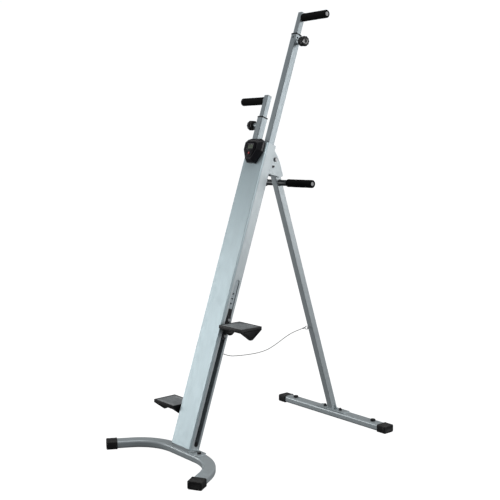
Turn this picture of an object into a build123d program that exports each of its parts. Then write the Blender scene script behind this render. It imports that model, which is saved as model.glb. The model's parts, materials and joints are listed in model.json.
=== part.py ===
from build123d import *
import math
import os

# Vertical climber machine.  Units are millimetres, +Z is up, the user stands
# on the -Y side facing +Y, and the origin is on the floor under the middle
# of the footprint.

# ---------------------------------------------------------------- sizes
# Column: a sheet channel closed by a front cover, leaning away from the user
column_lean = 18.8
column_width = 114.0
column_depth = 50.0
column_length = 1242.0
column_foot_y = -357.6
sheet = 1.5
cover_flange = 9.0
seam = 0.6
seam_overlap = 1.0
slot_width = 21.0
slot_depth_position = 30.0
slot_start = 13.0
slot_end = 681.0

# Sliding tubes, one on each side of the column
tube_size = 30.0
tube_wall = 1.5
tube_corner = 3.0
side_play = 1.0
tube_x = column_width / 2 - sheet - side_play - tube_size / 2
tube_front_d = 11.0
tube_d = tube_front_d + tube_size / 2
right_tube_end = 563.0
right_tube_top = 1707.0
left_offset = -353.5
height_hole = 7.0
low_hole_steps = (20.0, 40.0, 60.0)

# Handle tubes that telescope in the sliding tubes
bush_wall = 2.0
handle_size = tube_size - 2 * tube_wall - 2 * bush_wall
handle_wall = 1.5
handle_corner = 2.5
handle_top_above = 95.5
handle_length = 480.0
grip_below_top = 19.3
grip_bar_diameter = 22.0
grip_diameter = 33.0
plug_radius = 8.0
grip_length = 137.0
grip_start_x = tube_x + handle_size / 2 + 1.0
grip_end_x = grip_start_x + grip_length
hole_pitch = 25.0
holes_below_rest = 5
holes_above_rest = 1
knob_below_top = 30.0

# Fits
slide_gap = 0.5
bush_gap = 0.3
pin_gap = 0.4
axle_gap = 0.05
moving_gap = 0.3

# Knob and spring pin
pin_diameter = 6.0
neck_diameter = 20.0
knob_diameter = 41.0
neck_length = 22.5
knob_length = 28.5
knob_start_x = tube_x + tube_size / 2 + neck_length
knob_end_x = knob_start_x + knob_length
knob_flutes = 10
knob_recess = 0.8
pin_reach = 6.0
pin_tip_x = tube_x + handle_size / 2 - pin_reach

# Carriage, pedal bracket and pedal
carriage_bottom = 440.0
carriage_outer_x = column_width / 2 - sheet - 0.5
carriage_front_d = 11.2
carriage_rear_d = 47.8
clamp_height = 44.0
clamp_side_margin = 3.0
bracket_width = 18.0
bracket_thickness = 6.0
bracket_top = 535.0
bracket_bolt_low = 454.0
bracket_bolt_high = 519.0
pedal_gap = 14.0
pedal_width = 132.0
pedal_start_x = carriage_outer_x + bracket_thickness + pedal_gap
pedal_end_x = pedal_start_x + pedal_width
pedal_length = 104.0
pedal_keel = 47.5
pedal_plate = 9.0
pedal_level = 495.5
shelf_width = 24.0
shelf_thickness = 8.0

# Belt loop and pulleys inside the column
flange_step = 3.5
pulley_flange = tube_x - tube_size / 2 - side_play
pulley_radius = pulley_flange - flange_step
pulley_width = 12.0
belt_width = 10.0
belt_thickness = 2.0
belt_clearance = 2.8
carriage_inner_x = pulley_radius + belt_thickness + belt_clearance
pulley_below_top = 28.5
pulley_above_foot = 36.5
upper_pulley_s = column_length - pulley_below_top - pulley_flange
lower_pulley_s = pulley_above_foot + pulley_flange
axle_diameter = 8.0

# Leg, hinge and rear foot
leg_lean = 18.6
leg_size = 30.0
pivot_y = 117.9
pivot_rise = 1105.5
leg_above_pivot = 24.0
foot_width = 50.0
foot_height = 30.0
foot_bottom = 1.0
saddle_plate = 2.5
pedestal_height = 19.0
column_foot_z = foot_bottom + foot_height + pedestal_height
pivot_z = column_foot_z + pivot_rise
cap_side = 4.5
cap_width = foot_width + 2 * cap_side
cap_height = foot_height + 2.0
cap_length = 44.0
rear_foot_span = 662.0
static_bar_below = 100.8
static_bar_diameter = 25.0
static_half_length = 208.0
static_grip_start = 65.0
ear_side_gap = 7.0
ear_inner_x = leg_size / 2 + ear_side_gap
ear_thickness = 3.0
leveler_inset = 91.0
leveler_x = rear_foot_span / 2 - leveler_inset

# Front foot
front_foot_y = -327.6
front_straight = 78.0
front_radius = 190.0
front_bend = 60.13
front_end = 101.6

# Safety cable from the column to the leg
cable_diameter = 3.2
cable_exit_s = 395.0

RIGHT = 1
LEFT = -1
SIDE_NAMES = {RIGHT: "right", LEFT: "left"}

# ---------------------------------------------------------------- frames
lean = math.radians(column_lean)
column_up = Vector(0, math.sin(lean), math.cos(lean))
column_back = Vector(0, math.cos(lean), -math.sin(lean))
column_plane = Plane(
    origin=(0, column_foot_y, column_foot_z), x_dir=(1, 0, 0), z_dir=column_up
)
leg_angle = math.radians(leg_lean)
leg_up = Vector(0, -math.sin(leg_angle), math.cos(leg_angle))
leg_back = Vector(0, math.cos(leg_angle), math.sin(leg_angle))
leg_plane = Plane(origin=(0, pivot_y, pivot_z), x_dir=(1, 0, 0), z_dir=leg_up)


def column_point(x, d, s):
    """Point x across, d behind the front face and s up the column."""
    return column_plane.from_local_coords((x, d, s))


def side_plane(x, shift=0.0):
    """Plane across the machine at x, drawn as depth then distance up."""
    return Plane(origin=column_point(x, 0, shift), x_dir=column_back, z_dir=(1, 0, 0))


def front_plane(d):
    """Plane facing the user at depth d, drawn as x then distance up."""
    return Plane(origin=column_point(0, d, 0), x_dir=(1, 0, 0), z_dir=-column_back)


def leg_side_plane(x):
    """Plane across the machine at x, drawn as leg depth then leg height."""
    return Plane(
        origin=leg_plane.from_local_coords((x, 0, 0)), x_dir=leg_back, z_dir=(1, 0, 0)
    )


def along(direction):
    """Axis used to pick edges that run in one direction."""
    return Axis((0, 0, 0), tuple(direction))


def shift_of(side):
    """How far a side sits from the right-hand side's place."""
    return 0.0 if side == RIGHT else left_offset


def tube_section(plane, x, y, size, wall, corner):
    """Hollow square section drawn on a plane."""
    with BuildSketch(plane) as section:
        with Locations((x, y)):
            RectangleRounded(size, size, corner)
            RectangleRounded(
                size - 2 * wall, size - 2 * wall, corner - wall, mode=Mode.SUBTRACT
            )
    return section.sketch


def rounded_section(plane, width, height, corner):
    """Solid rounded rectangle drawn on a plane."""
    with BuildSketch(plane) as section:
        RectangleRounded(width, height, corner)
    return section.sketch


# ---------------------------------------------------------------- front foot
front_mid_z = foot_bottom + foot_height / 2
bend = math.radians(front_bend)
bend_end_x = front_straight + front_radius * math.sin(bend)
bend_end_y = front_foot_y - front_radius * (1 - math.cos(bend))
foot_end_x = bend_end_x + front_end * math.cos(bend)
foot_end_y = bend_end_y - front_end * math.sin(bend)
foot_corner = 9.0
foot_wall = 1.6
cap_lip = 2.0
front_tube_end = front_end - cap_lip

with BuildPart() as front_foot_tube:
    with BuildLine() as foot_path:
        left_bend = CenterArc(
            (-front_straight, front_foot_y - front_radius, front_mid_z),
            front_radius,
            90,
            front_bend,
        )
        middle = Line(left_bend @ 0, (front_straight, front_foot_y, front_mid_z))
        right_bend = CenterArc(
            (front_straight, front_foot_y - front_radius, front_mid_z),
            front_radius,
            90,
            -front_bend,
        )
        left_end = Line(
            left_bend @ 1, (left_bend @ 1) + (left_bend % 1) * front_tube_end
        )
        right_end = Line(
            right_bend @ 1, (right_bend @ 1) + (right_bend % 1) * front_tube_end
        )
    start_plane = Plane(
        origin=left_end @ 1, x_dir=(0, 0, 1), z_dir=-(left_bend % 1)
    )
    with BuildSketch(start_plane):
        RectangleRounded(foot_height, foot_width, foot_corner)
        RectangleRounded(
            foot_height - 2 * foot_wall,
            foot_width - 2 * foot_wall,
            foot_corner - foot_wall,
            mode=Mode.SUBTRACT,
        )
    sweep(path=foot_path.wires()[0])
    with Locations((0, 0, front_mid_z)):
        with Locations(*[(x, front_foot_y, 0) for x in (-82.0, 82.0)]):
            Cylinder(4.4, foot_height * 2, mode=Mode.SUBTRACT)
front_foot_tube.part.label = "front_foot_tube"


def foot_end_plane(side):
    """Plane on the end face of a front foot cap."""
    direction = (side * math.cos(bend), -math.sin(bend), 0)
    return Plane(
        origin=(side * foot_end_x, foot_end_y, cap_height / 2),
        x_dir=(math.sin(bend), side * math.cos(bend), 0),
        z_dir=direction,
    )


cap_corner = 4.0

with BuildPart() as front_caps:
    for side in (LEFT, RIGHT):
        cap_plane = foot_end_plane(side)
        extrude(
            rounded_section(cap_plane, cap_width, cap_height, cap_corner),
            amount=-cap_length,
        )
        extrude(
            rounded_section(
                cap_plane.offset(-cap_lip), foot_width, foot_height, foot_corner
            ),
            amount=-cap_length,
            mode=Mode.SUBTRACT,
        )
front_caps.part.label = "front_caps"

# The saddle joins the flat foot to the leaning column
foot_top = foot_bottom + foot_height
saddle_top = foot_top + saddle_plate
saddle_half_x = 98.0
saddle_front_y = column_foot_y + 2.0
saddle_rear_y = column_foot_y + 55.0
pedestal_half_x = 50.0
saddle_bolt_x = 82.0
bolt_hole = 8.8

with BuildPart() as front_saddle:
    with BuildSketch(Plane.XY.offset(foot_top)):
        with Locations((0, (saddle_front_y + saddle_rear_y) / 2)):
            RectangleRounded(2 * saddle_half_x, saddle_rear_y - saddle_front_y, 6.0)
        with Locations((-saddle_bolt_x, front_foot_y), (saddle_bolt_x, front_foot_y)):
            Circle(bolt_hole / 2, mode=Mode.SUBTRACT)
    extrude(amount=saddle_plate)
    rear_corner = column_point(0, column_depth - 3.0, 0)
    front_corner = column_point(0, 3.0, 0)
    with BuildSketch(Plane.YZ.offset(-pedestal_half_x)):
        with BuildLine():
            Polyline(
                (front_corner.Y, saddle_top),
                (rear_corner.Y, saddle_top),
                (rear_corner.Y, rear_corner.Z),
                (front_corner.Y, front_corner.Z),
                close=True,
            )
        make_face()
    extrude(amount=2 * pedestal_half_x)
front_saddle.part.label = "front_saddle"

with BuildPart() as saddle_bolts:
    for x in (-saddle_bolt_x, saddle_bolt_x):
        with BuildSketch(Plane.XY.offset(saddle_top)):
            with Locations((x, front_foot_y)):
                Circle(8.0)
        extrude(amount=1.6)
        with BuildSketch(Plane.XY.offset(saddle_top + 1.6)):
            with Locations((x, front_foot_y)):
                RegularPolygon(6.5, 6, major_radius=False)
        extrude(amount=5.5)
        with BuildSketch(Plane.XY.offset(foot_bottom + 4.0)):
            with Locations((x, front_foot_y)):
                Circle(4.0)
        extrude(amount=saddle_top - foot_bottom)
saddle_bolts.part.label = "saddle_bolts"

# ---------------------------------------------------------------- column
half_width = column_width / 2
inner_half = half_width - sheet
wall_start = cover_flange + seam
tongue_end = wall_start + seam_overlap
rear_inner = column_depth - sheet

anchor_hole = 5.0

with BuildPart() as column_channel:
    with BuildSketch(column_plane):
        with BuildLine():
            Polyline(
                (-half_width, wall_start),
                (-half_width, column_depth),
                (half_width, column_depth),
                (half_width, wall_start),
                (inner_half, wall_start),
                (inner_half, sheet),
                (inner_half - sheet, sheet),
                (inner_half - sheet, tongue_end),
                (inner_half, tongue_end),
                (inner_half, rear_inner),
                (-inner_half, rear_inner),
                (-inner_half, tongue_end),
                (-inner_half + sheet, tongue_end),
                (-inner_half + sheet, sheet),
                (-inner_half, sheet),
                (-inner_half, wall_start),
                close=True,
            )
        make_face()
    extrude(amount=column_length)
    with BuildSketch(side_plane(-column_width)):
        with Locations((slot_depth_position, (slot_start + slot_end) / 2)):
            SlotOverall(slot_end - slot_start, slot_width, rotation=90)
    extrude(amount=2 * column_width, mode=Mode.SUBTRACT)
    with BuildSketch(front_plane(column_depth + 1)):
        with Locations((0, upper_pulley_s), (0, lower_pulley_s)):
            Circle(axle_diameter / 2)
        with Locations((0, cable_exit_s)):
            Circle(anchor_hole / 2)
    extrude(amount=sheet + 2, mode=Mode.SUBTRACT)
column_channel.part.label = "column_channel"

with BuildPart() as front_cover:
    with BuildSketch(column_plane):
        with BuildLine():
            Polyline(
                (-half_width, 0),
                (half_width, 0),
                (half_width, cover_flange),
                (inner_half, cover_flange),
                (inner_half, sheet),
                (-inner_half, sheet),
                (-inner_half, cover_flange),
                (-half_width, cover_flange),
                close=True,
            )
        make_face()
    extrude(amount=column_length)
    fillet(
        front_cover.edges()
        .filter_by(along(column_up))
        .sort_by(along(column_back))[:2],
        1.2,
    )
front_cover.part.label = "front_cover"

guide_thickness = 24.0
guide_recess = 2.0
guide_top = column_length - guide_recess


def tube_places(side=None):
    """Sketch places of the sliding tubes across the column."""
    sides = (LEFT, RIGHT) if side is None else (side,)
    return [(each * tube_x, tube_d) for each in sides]


with BuildPart() as top_guide:
    with BuildSketch(column_plane.offset(guide_top - guide_thickness)):
        with Locations((0, (tongue_end + rear_inner) / 2)):
            Rectangle(2 * inner_half, rear_inner - tongue_end)
        with Locations((0, (sheet + tongue_end) / 2)):
            Rectangle(2 * (inner_half - sheet), tongue_end - sheet)
        with Locations(*tube_places()):
            Rectangle(
                tube_size + 2 * slide_gap, tube_size + 2 * slide_gap, mode=Mode.SUBTRACT
            )
    extrude(amount=guide_thickness)
top_guide.part.label = "top_guide"

base_thickness = 12.0
bumper_top = 30.0
bumper_size = 24.0

with BuildPart() as base_block:
    with BuildSketch(column_plane):
        with Locations((0, (tongue_end + rear_inner) / 2)):
            Rectangle(2 * inner_half, rear_inner - tongue_end)
    extrude(amount=base_thickness)
    with BuildSketch(column_plane.offset(base_thickness)):
        with Locations(*tube_places()):
            RectangleRounded(bumper_size, bumper_size, 4.0)
    extrude(amount=bumper_top - base_thickness)
base_block.part.label = "base_block"

# ---------------------------------------------------------------- belt drive
axle_head = 5.0
axle_front_d = 14.0
axle_nut = 5.0
spacer_radius = 7.0
pulley_front_d = tube_d - pulley_width / 2
pulley_rear_d = tube_d + pulley_width / 2
washer = moving_gap

with BuildPart() as pulley_axles:
    for level in (upper_pulley_s, lower_pulley_s):
        with BuildSketch(front_plane(column_depth + axle_head)):
            with Locations((0, level)):
                RegularPolygon(6.5, 6, major_radius=False)
        extrude(amount=axle_head)
        with BuildSketch(front_plane(column_depth)):
            with Locations((0, level)):
                Circle(axle_diameter / 2)
        extrude(amount=column_depth - axle_front_d)
        with BuildSketch(front_plane(rear_inner)):
            with Locations((0, level)):
                Circle(spacer_radius)
        extrude(amount=rear_inner - pulley_rear_d - washer)
        with BuildSketch(front_plane(pulley_front_d - washer)):
            with Locations((0, level)):
                RegularPolygon(6.5, 6, major_radius=False)
        extrude(amount=axle_nut)
pulley_axles.part.label = "pulley_axles"


def pulley(level, label):
    """Flanged pulley that turns on a cross axle."""
    rim = pulley_radius - moving_gap
    flange = (pulley_width - belt_width) / 2 - moving_gap
    with BuildPart() as wheel:
        with BuildSketch(front_plane(pulley_rear_d)):
            with Locations((0, level)):
                Circle(rim)
        extrude(amount=pulley_width)
        for d in (pulley_rear_d, pulley_front_d + flange):
            with BuildSketch(front_plane(d)):
                with Locations((0, level)):
                    Circle(pulley_flange)
            extrude(amount=flange)
        with BuildSketch(front_plane(pulley_rear_d)):
            with Locations((0, level)):
                Circle(axle_diameter / 2 + axle_gap)
            with Locations((0, level)):
                with PolarLocations(12.5, 5):
                    Circle(4.0)
        extrude(amount=pulley_width, mode=Mode.SUBTRACT)
    wheel.part.label = label
    return wheel


upper_pulley = pulley(upper_pulley_s, "upper_pulley")
lower_pulley = pulley(lower_pulley_s, "lower_pulley")

belt_span = upper_pulley_s - lower_pulley_s
belt_middle = (upper_pulley_s + lower_pulley_s) / 2
belt_rear_d = tube_d + belt_width / 2

with BuildPart() as drive_belt:
    with BuildSketch(front_plane(belt_rear_d)):
        with Locations((0, belt_middle)):
            SlotCenterToCenter(
                belt_span, 2 * (pulley_radius + belt_thickness), rotation=90
            )
            SlotCenterToCenter(
                belt_span, 2 * pulley_radius, rotation=90, mode=Mode.SUBTRACT
            )
    extrude(amount=belt_width)
drive_belt.part.label = "drive_belt"

# ---------------------------------------------------------------- console
console_depth = 30.0
console_centre_s = 1203.0
console_front_scale = 0.78
console_outline = [
    (-31.0, 49.0),
    (31.0, 49.0),
    (50.0, 35.0),
    (50.0, -2.0),
    (21.0, -52.0),
    (-21.0, -52.0),
    (-50.0, -2.0),
    (-50.0, 35.0),
]
lcd_width = 32.0
lcd_height = 18.0
lcd_s = 1213.0
button_s = 1186.0
button_radius = 5.0
face_thickness = 1.6
face_scale = 0.62
lcd_thickness = 1.0


def console_section(plane, factor):
    """Console outline at one depth."""
    with BuildSketch(plane) as ring:
        with BuildLine():
            Polyline(
                *[(x * factor, console_centre_s + s * factor) for x, s in console_outline],
                close=True,
            )
        make_face()
    return ring.sketch


shell_step = 12.0
with BuildPart() as console_housing:
    extrude(console_section(front_plane(0), 1.0), amount=shell_step)
    loft(
        [
            console_section(front_plane(-shell_step), 1.0),
            console_section(front_plane(-console_depth), console_front_scale),
        ]
    )
    with BuildSketch(front_plane(-console_depth)):
        with Locations((0, button_s)):
            Circle(button_radius + moving_gap)
    extrude(amount=-12.0, mode=Mode.SUBTRACT)
    chamfer(
        console_housing.faces().sort_by(along(column_back))[0].edges(),
        1.5,
    )
console_housing.part.label = "console_housing"

with BuildPart() as console_face:
    extrude(
        console_section(front_plane(-console_depth), face_scale), amount=face_thickness
    )
    with BuildSketch(front_plane(-console_depth)):
        with Locations((0, lcd_s)):
            Rectangle(lcd_width, lcd_height)
        with Locations((0, button_s)):
            Circle(button_radius + moving_gap)
    extrude(amount=face_thickness, mode=Mode.SUBTRACT)
console_face.part.label = "console_face"

with BuildPart() as console_lcd:
    with BuildSketch(front_plane(-console_depth)):
        with Locations((0, lcd_s)):
            Rectangle(lcd_width, lcd_height)
    extrude(amount=lcd_thickness)
console_lcd.part.label = "console_lcd"

button_stem = 8.0
button_proud = 3.2
with BuildPart() as console_button:
    with BuildSketch(front_plane(-console_depth + button_stem)):
        with Locations((0, button_s)):
            Circle(button_radius)
    extrude(amount=button_stem + button_proud)
    fillet(
        console_button.faces().sort_by(along(column_back))[0].edges(),
        1.2,
    )
console_button.part.label = "console_button"

# ---------------------------------------------------------------- hinge
ear_middle_d = column_depth
web_thickness = 3.0
web_gap = 0.4
ear_outline = [
    (column_depth, 1236.0),
    (76.0, 1232.0),
    (98.0, 1217.0),
]
web_face_leg = leg_size / 2 + web_gap
web_top_below = 24.0
web_bottom_below = 78.0
rivets = [(66.0, 1212.0), (66.0, 1160.0), (90.7, 1168.0)]
rivet_radius = 3.0
lock_hole_below = 33.0
pivot_diameter = 10.0


def leg_to_column(depth, height):
    """Turn a leg-frame depth and height into column depth and distance up."""
    place = leg_plane.from_local_coords((0, depth, height))
    local = column_plane.to_local_coords(place)
    return (local.Y, local.Z)


web_outer = web_face_leg + web_thickness
ear_points = ear_outline + [
    leg_to_column(web_outer, -web_top_below + 10.0),
    leg_to_column(web_outer, -web_bottom_below),
    leg_to_column(2.0, -web_bottom_below),
    (column_depth + 8.0, 1132.0),
    (column_depth, 1136.0),
]
pivot_local = leg_to_column(0, 0)

with BuildPart() as hinge_bracket:
    for side in (LEFT, RIGHT):
        with BuildSketch(side_plane(side * ear_inner_x)):
            with BuildLine():
                Polyline(*ear_points, close=True)
            make_face()
            with Locations(pivot_local):
                Circle(pivot_diameter / 2, mode=Mode.SUBTRACT)
            with Locations(*rivets):
                Circle(rivet_radius, mode=Mode.SUBTRACT)
        extrude(amount=side * ear_thickness)
    with BuildSketch(leg_side_plane(-ear_inner_x)):
        with Locations((web_face_leg + web_thickness / 2, -(web_top_below + web_bottom_below) / 2)):
            Rectangle(web_thickness, web_bottom_below - web_top_below)
    extrude(amount=2 * ear_inner_x)
hinge_bracket.part.label = "hinge_bracket"

lug_thickness = 3.0
lug_inner_x = ear_inner_x - lug_thickness
with BuildPart() as hinge_lugs:
    for side in (LEFT, RIGHT):
        with BuildSketch(side_plane(side * lug_inner_x)):
            with BuildLine():
                Polyline(
                    (column_depth, 1228.0),
                    (74.0, 1222.0),
                    (74.0, 1185.0),
                    (96.0, 1178.0),
                    (96.0, 1160.0),
                    (74.0, 1148.0),
                    (column_depth, 1144.0),
                    close=True,
                )
            make_face()
            with Locations(*rivets):
                Circle(rivet_radius, mode=Mode.SUBTRACT)
        extrude(amount=side * lug_thickness)
    with BuildSketch(front_plane(column_depth + lug_thickness)):
        with Locations((0, 1214.0), (0, 1160.0)):
            Rectangle(2 * lug_inner_x, 22.0)
    extrude(amount=lug_thickness)
hinge_lugs.part.label = "hinge_lugs"

rivet_head = 2.4
rivet_tail = 1.2
with BuildPart() as hinge_rivets:
    for side in (LEFT, RIGHT):
        with BuildSketch(side_plane(side * lug_inner_x)):
            with Locations(*rivets):
                Circle(rivet_radius)
        extrude(amount=side * (lug_thickness + ear_thickness))
        with BuildSketch(side_plane(side * (ear_inner_x + ear_thickness))):
            with Locations(*rivets):
                Circle(rivet_radius * 1.8)
        extrude(amount=side * rivet_head)
        with BuildSketch(side_plane(side * lug_inner_x)):
            with Locations(*rivets):
                Circle(rivet_radius * 1.5)
        extrude(amount=-side * rivet_tail)
hinge_rivets.part.label = "hinge_rivets"

ear_outer_x = ear_inner_x + ear_thickness
pivot_washer = 1.6
pivot_head = 6.0
with BuildPart() as pivot_bolt:
    with BuildSketch(leg_side_plane(-ear_outer_x)):
        Circle(pivot_diameter / 2)
    extrude(amount=2 * ear_outer_x)
    for side in (LEFT, RIGHT):
        with BuildSketch(leg_side_plane(side * ear_outer_x)):
            Circle(10.0)
        extrude(amount=side * pivot_washer)
        with BuildSketch(leg_side_plane(side * (ear_outer_x + pivot_washer))):
            RegularPolygon(7.5, 6, major_radius=False)
        extrude(amount=side * pivot_head)
pivot_bolt.part.label = "pivot_bolt"

# ---------------------------------------------------------------- leg
leg_length_to_floor = pivot_z / math.cos(leg_angle)
rear_foot_y = pivot_y + (pivot_z - foot_top) * math.tan(leg_angle)
leg_wall = 1.6
leg_corner = 3.0

with BuildPart() as leg_tube:
    extrude(
        tube_section(
            leg_plane.offset(-leg_length_to_floor), 0, 0, leg_size, leg_wall, leg_corner
        ),
        amount=leg_length_to_floor + leg_above_pivot,
    )
    split(bisect_by=Plane.XY.offset(saddle_top), keep=Keep.TOP)
    with BuildSketch(leg_side_plane(-leg_size)):
        Circle(pivot_diameter / 2 + axle_gap)
        with Locations((0, -static_bar_below)):
            Circle(static_bar_diameter / 2)
    extrude(amount=2 * leg_size, mode=Mode.SUBTRACT)
    eye_below = (pivot_z - 432.0) / math.cos(leg_angle)
    with BuildSketch(
        Plane(
            origin=leg_plane.from_local_coords((0, -leg_size, -eye_below)),
            x_dir=(1, 0, 0),
            z_dir=leg_back,
        )
    ):
        Circle(3.0)
    extrude(amount=leg_size, mode=Mode.SUBTRACT)
leg_tube.part.label = "leg_tube"

bush_outer = 8.5
with BuildPart() as pivot_bushes:
    for side in (LEFT, RIGHT):
        with BuildSketch(leg_side_plane(side * leg_size / 2)):
            Circle(bush_outer)
            Circle(pivot_diameter / 2 + axle_gap, mode=Mode.SUBTRACT)
        extrude(amount=side * (ear_inner_x - moving_gap - leg_size / 2))
pivot_bushes.part.label = "pivot_bushes"

bar_wall = 2.0
with BuildPart() as static_bar:
    with BuildSketch(leg_side_plane(-static_half_length + 3.0)):
        with Locations((0, -static_bar_below)):
            Circle(static_bar_diameter / 2)
            Circle(static_bar_diameter / 2 - bar_wall, mode=Mode.SUBTRACT)
    extrude(amount=2 * (static_half_length - 3.0))
static_bar.part.label = "static_bar"

with BuildPart() as static_grips:
    for side in (LEFT, RIGHT):
        with BuildSketch(leg_side_plane(side * static_grip_start)):
            with Locations((0, -static_bar_below)):
                Circle(grip_diameter / 2)
        extrude(amount=side * (static_half_length - static_grip_start))
        with BuildSketch(leg_side_plane(side * static_grip_start)):
            with Locations((0, -static_bar_below)):
                Circle(static_bar_diameter / 2)
        extrude(
            amount=side * (static_half_length - 3.0 - static_grip_start),
            mode=Mode.SUBTRACT,
        )
    fillet(static_grips.edges().filter_by(GeomType.CIRCLE).filter_by(
        lambda edge: edge.radius > grip_diameter / 2 - 0.1), 3.0)
static_grips.part.label = "static_grips"

rear_mid_z = foot_bottom + foot_height / 2
rear_tube_half = rear_foot_span / 2 - cap_lip
rear_bolt_x = 47.0
leveler_top_hole = 9.0
leveler_bottom_hole = 22.0

with BuildPart() as rear_foot_tube:
    with BuildSketch(Plane.YZ.offset(-rear_tube_half)):
        with Locations((rear_foot_y, rear_mid_z)):
            RectangleRounded(foot_width, foot_height, foot_corner)
            RectangleRounded(
                foot_width - 2 * foot_wall,
                foot_height - 2 * foot_wall,
                foot_corner - foot_wall,
                mode=Mode.SUBTRACT,
            )
    extrude(amount=2 * rear_tube_half)
    with BuildSketch(Plane.XY.offset(rear_mid_z)):
        with Locations((-leveler_x, rear_foot_y), (leveler_x, rear_foot_y)):
            Circle(leveler_top_hole / 2)
        with Locations((-rear_bolt_x, rear_foot_y), (rear_bolt_x, rear_foot_y)):
            Circle(4.0)
    extrude(amount=foot_height, mode=Mode.SUBTRACT)
    with BuildSketch(Plane.XY):
        with Locations((-leveler_x, rear_foot_y), (leveler_x, rear_foot_y)):
            Circle(leveler_bottom_hole / 2)
    extrude(amount=rear_mid_z, mode=Mode.SUBTRACT)
rear_foot_tube.part.label = "rear_foot_tube"

with BuildPart() as rear_caps:
    for side in (LEFT, RIGHT):
        cap_plane = Plane(
            origin=(side * rear_foot_span / 2, rear_foot_y, cap_height / 2),
            x_dir=(0, 1, 0),
            z_dir=(side, 0, 0),
        )
        extrude(
            rounded_section(cap_plane, cap_width, cap_height, cap_corner),
            amount=-cap_length,
        )
        extrude(
            rounded_section(
                cap_plane.offset(-cap_lip), foot_width, foot_height, foot_corner
            ),
            amount=-cap_length,
            mode=Mode.SUBTRACT,
        )
rear_caps.part.label = "rear_caps"

rear_saddle_half = 85.0
rear_saddle_width = 46.0
gusset_height = 26.0
with BuildPart() as rear_saddle:
    with BuildSketch(Plane.XY.offset(foot_top)):
        with Locations((0, rear_foot_y)):
            RectangleRounded(2 * rear_saddle_half, rear_saddle_width, 5.0)
            with Locations((-rear_bolt_x, 0), (rear_bolt_x, 0)):
                Circle(4.0, mode=Mode.SUBTRACT)
    extrude(amount=saddle_plate)
    for side in (LEFT, RIGHT):
        with BuildSketch(Plane.XZ.offset(-rear_foot_y - 2.0)):
            with BuildLine():
                Polyline(
                    (side * leg_size / 2, saddle_top),
                    (side * (leg_size / 2 + 16.0), saddle_top),
                    (side * leg_size / 2, saddle_top + gusset_height),
                    close=True,
                )
            make_face()
        extrude(amount=4.0)
rear_saddle.part.label = "rear_saddle"

nut_height = 6.5
with BuildPart() as rear_bolts:
    for x in (-rear_bolt_x, rear_bolt_x):
        with BuildSketch(Plane.XY.offset(rear_mid_z)):
            with Locations((x, rear_foot_y)):
                Circle(4.0)
        extrude(amount=saddle_top - rear_mid_z)
        with BuildSketch(Plane.XY.offset(saddle_top)):
            with Locations((x, rear_foot_y)):
                RegularPolygon(6.5, 6, major_radius=False)
        extrude(amount=nut_height)
        with Locations((x, rear_foot_y, saddle_top + nut_height)):
            Sphere(5.6)
rear_bolts.part.label = "rear_bolts"

leveler_travel = 4.0


def leveler(side):
    """Screw foot with a knob above the rear foot tube."""
    with BuildPart() as screw:
        with BuildSketch(Plane.XY):
            with Locations((side * leveler_x, rear_foot_y)):
                Circle(10.0)
        extrude(amount=6.0)
        with BuildSketch(Plane.XY.offset(6.0)):
            with Locations((side * leveler_x, rear_foot_y)):
                Circle(4.0)
        extrude(amount=foot_top - 6.0 + 2.0)
        with BuildSketch(Plane.XY.offset(foot_top + moving_gap)):
            with Locations((side * leveler_x, rear_foot_y)):
                Circle(11.0)
                with PolarLocations(11.6, 12):
                    Circle(1.4, mode=Mode.SUBTRACT)
        extrude(amount=8.0)
    screw.part.label = SIDE_NAMES[side] + "_leveler"
    return screw


right_leveler = leveler(RIGHT)
left_leveler = leveler(LEFT)

# ---------------------------------------------------------------- one side
shelf_top_point = column_point(0, slot_depth_position, pedal_level)
pedal_top_z = shelf_top_point.Z + shelf_thickness / 2 + pedal_plate
pedal_mid_y = shelf_top_point.Y


def lowered(side, plane):
    """Move a plane along the column to the place of one side."""
    return plane.moved(Location(column_up * shift_of(side)))


def slider_tube(side):
    """Square sliding tube with its adjustment holes."""
    shift = shift_of(side)
    plane = column_plane.offset(right_tube_end + shift)
    with BuildPart() as tube:
        extrude(
            tube_section(
                plane, side * tube_x, tube_d, tube_size, tube_wall, tube_corner
            ),
            amount=right_tube_top - right_tube_end,
        )
        with BuildSketch(side_plane(side * tube_x, shift)):
            with Locations((tube_d, right_tube_top - knob_below_top)):
                Circle(height_hole / 2)
            for step in low_hole_steps:
                with Locations((tube_d, right_tube_end + step)):
                    Circle(height_hole / 2)
        extrude(amount=side * tube_size, mode=Mode.SUBTRACT)
    tube.part.label = SIDE_NAMES[side] + "_slider_tube"
    return tube


bush_rim = 32.0
bush_rim_height = 5.0
bush_depth = 24.0
bush_neck_outer = tube_size - 2 * tube_wall
bush_inner = handle_size + 2 * bush_gap


def tube_bush(side):
    """Plastic bush that closes the gap between the two tubes."""
    top = right_tube_top + shift_of(side)
    with BuildPart() as bush:
        with BuildSketch(column_plane.offset(top)):
            with Locations(*tube_places(side)):
                RectangleRounded(bush_rim, bush_rim, 3.0)
        extrude(amount=bush_rim_height)
        with BuildSketch(column_plane.offset(top - bush_depth)):
            with Locations(*tube_places(side)):
                RectangleRounded(bush_neck_outer, bush_neck_outer, tube_corner - tube_wall)
        extrude(amount=bush_depth)
        with BuildSketch(column_plane.offset(top - bush_depth)):
            with Locations(*tube_places(side)):
                Rectangle(bush_inner, bush_inner)
        extrude(amount=bush_depth + bush_rim_height, mode=Mode.SUBTRACT)
    bush.part.label = SIDE_NAMES[side] + "_bush"
    return bush


plug_depth = 30.0


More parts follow.
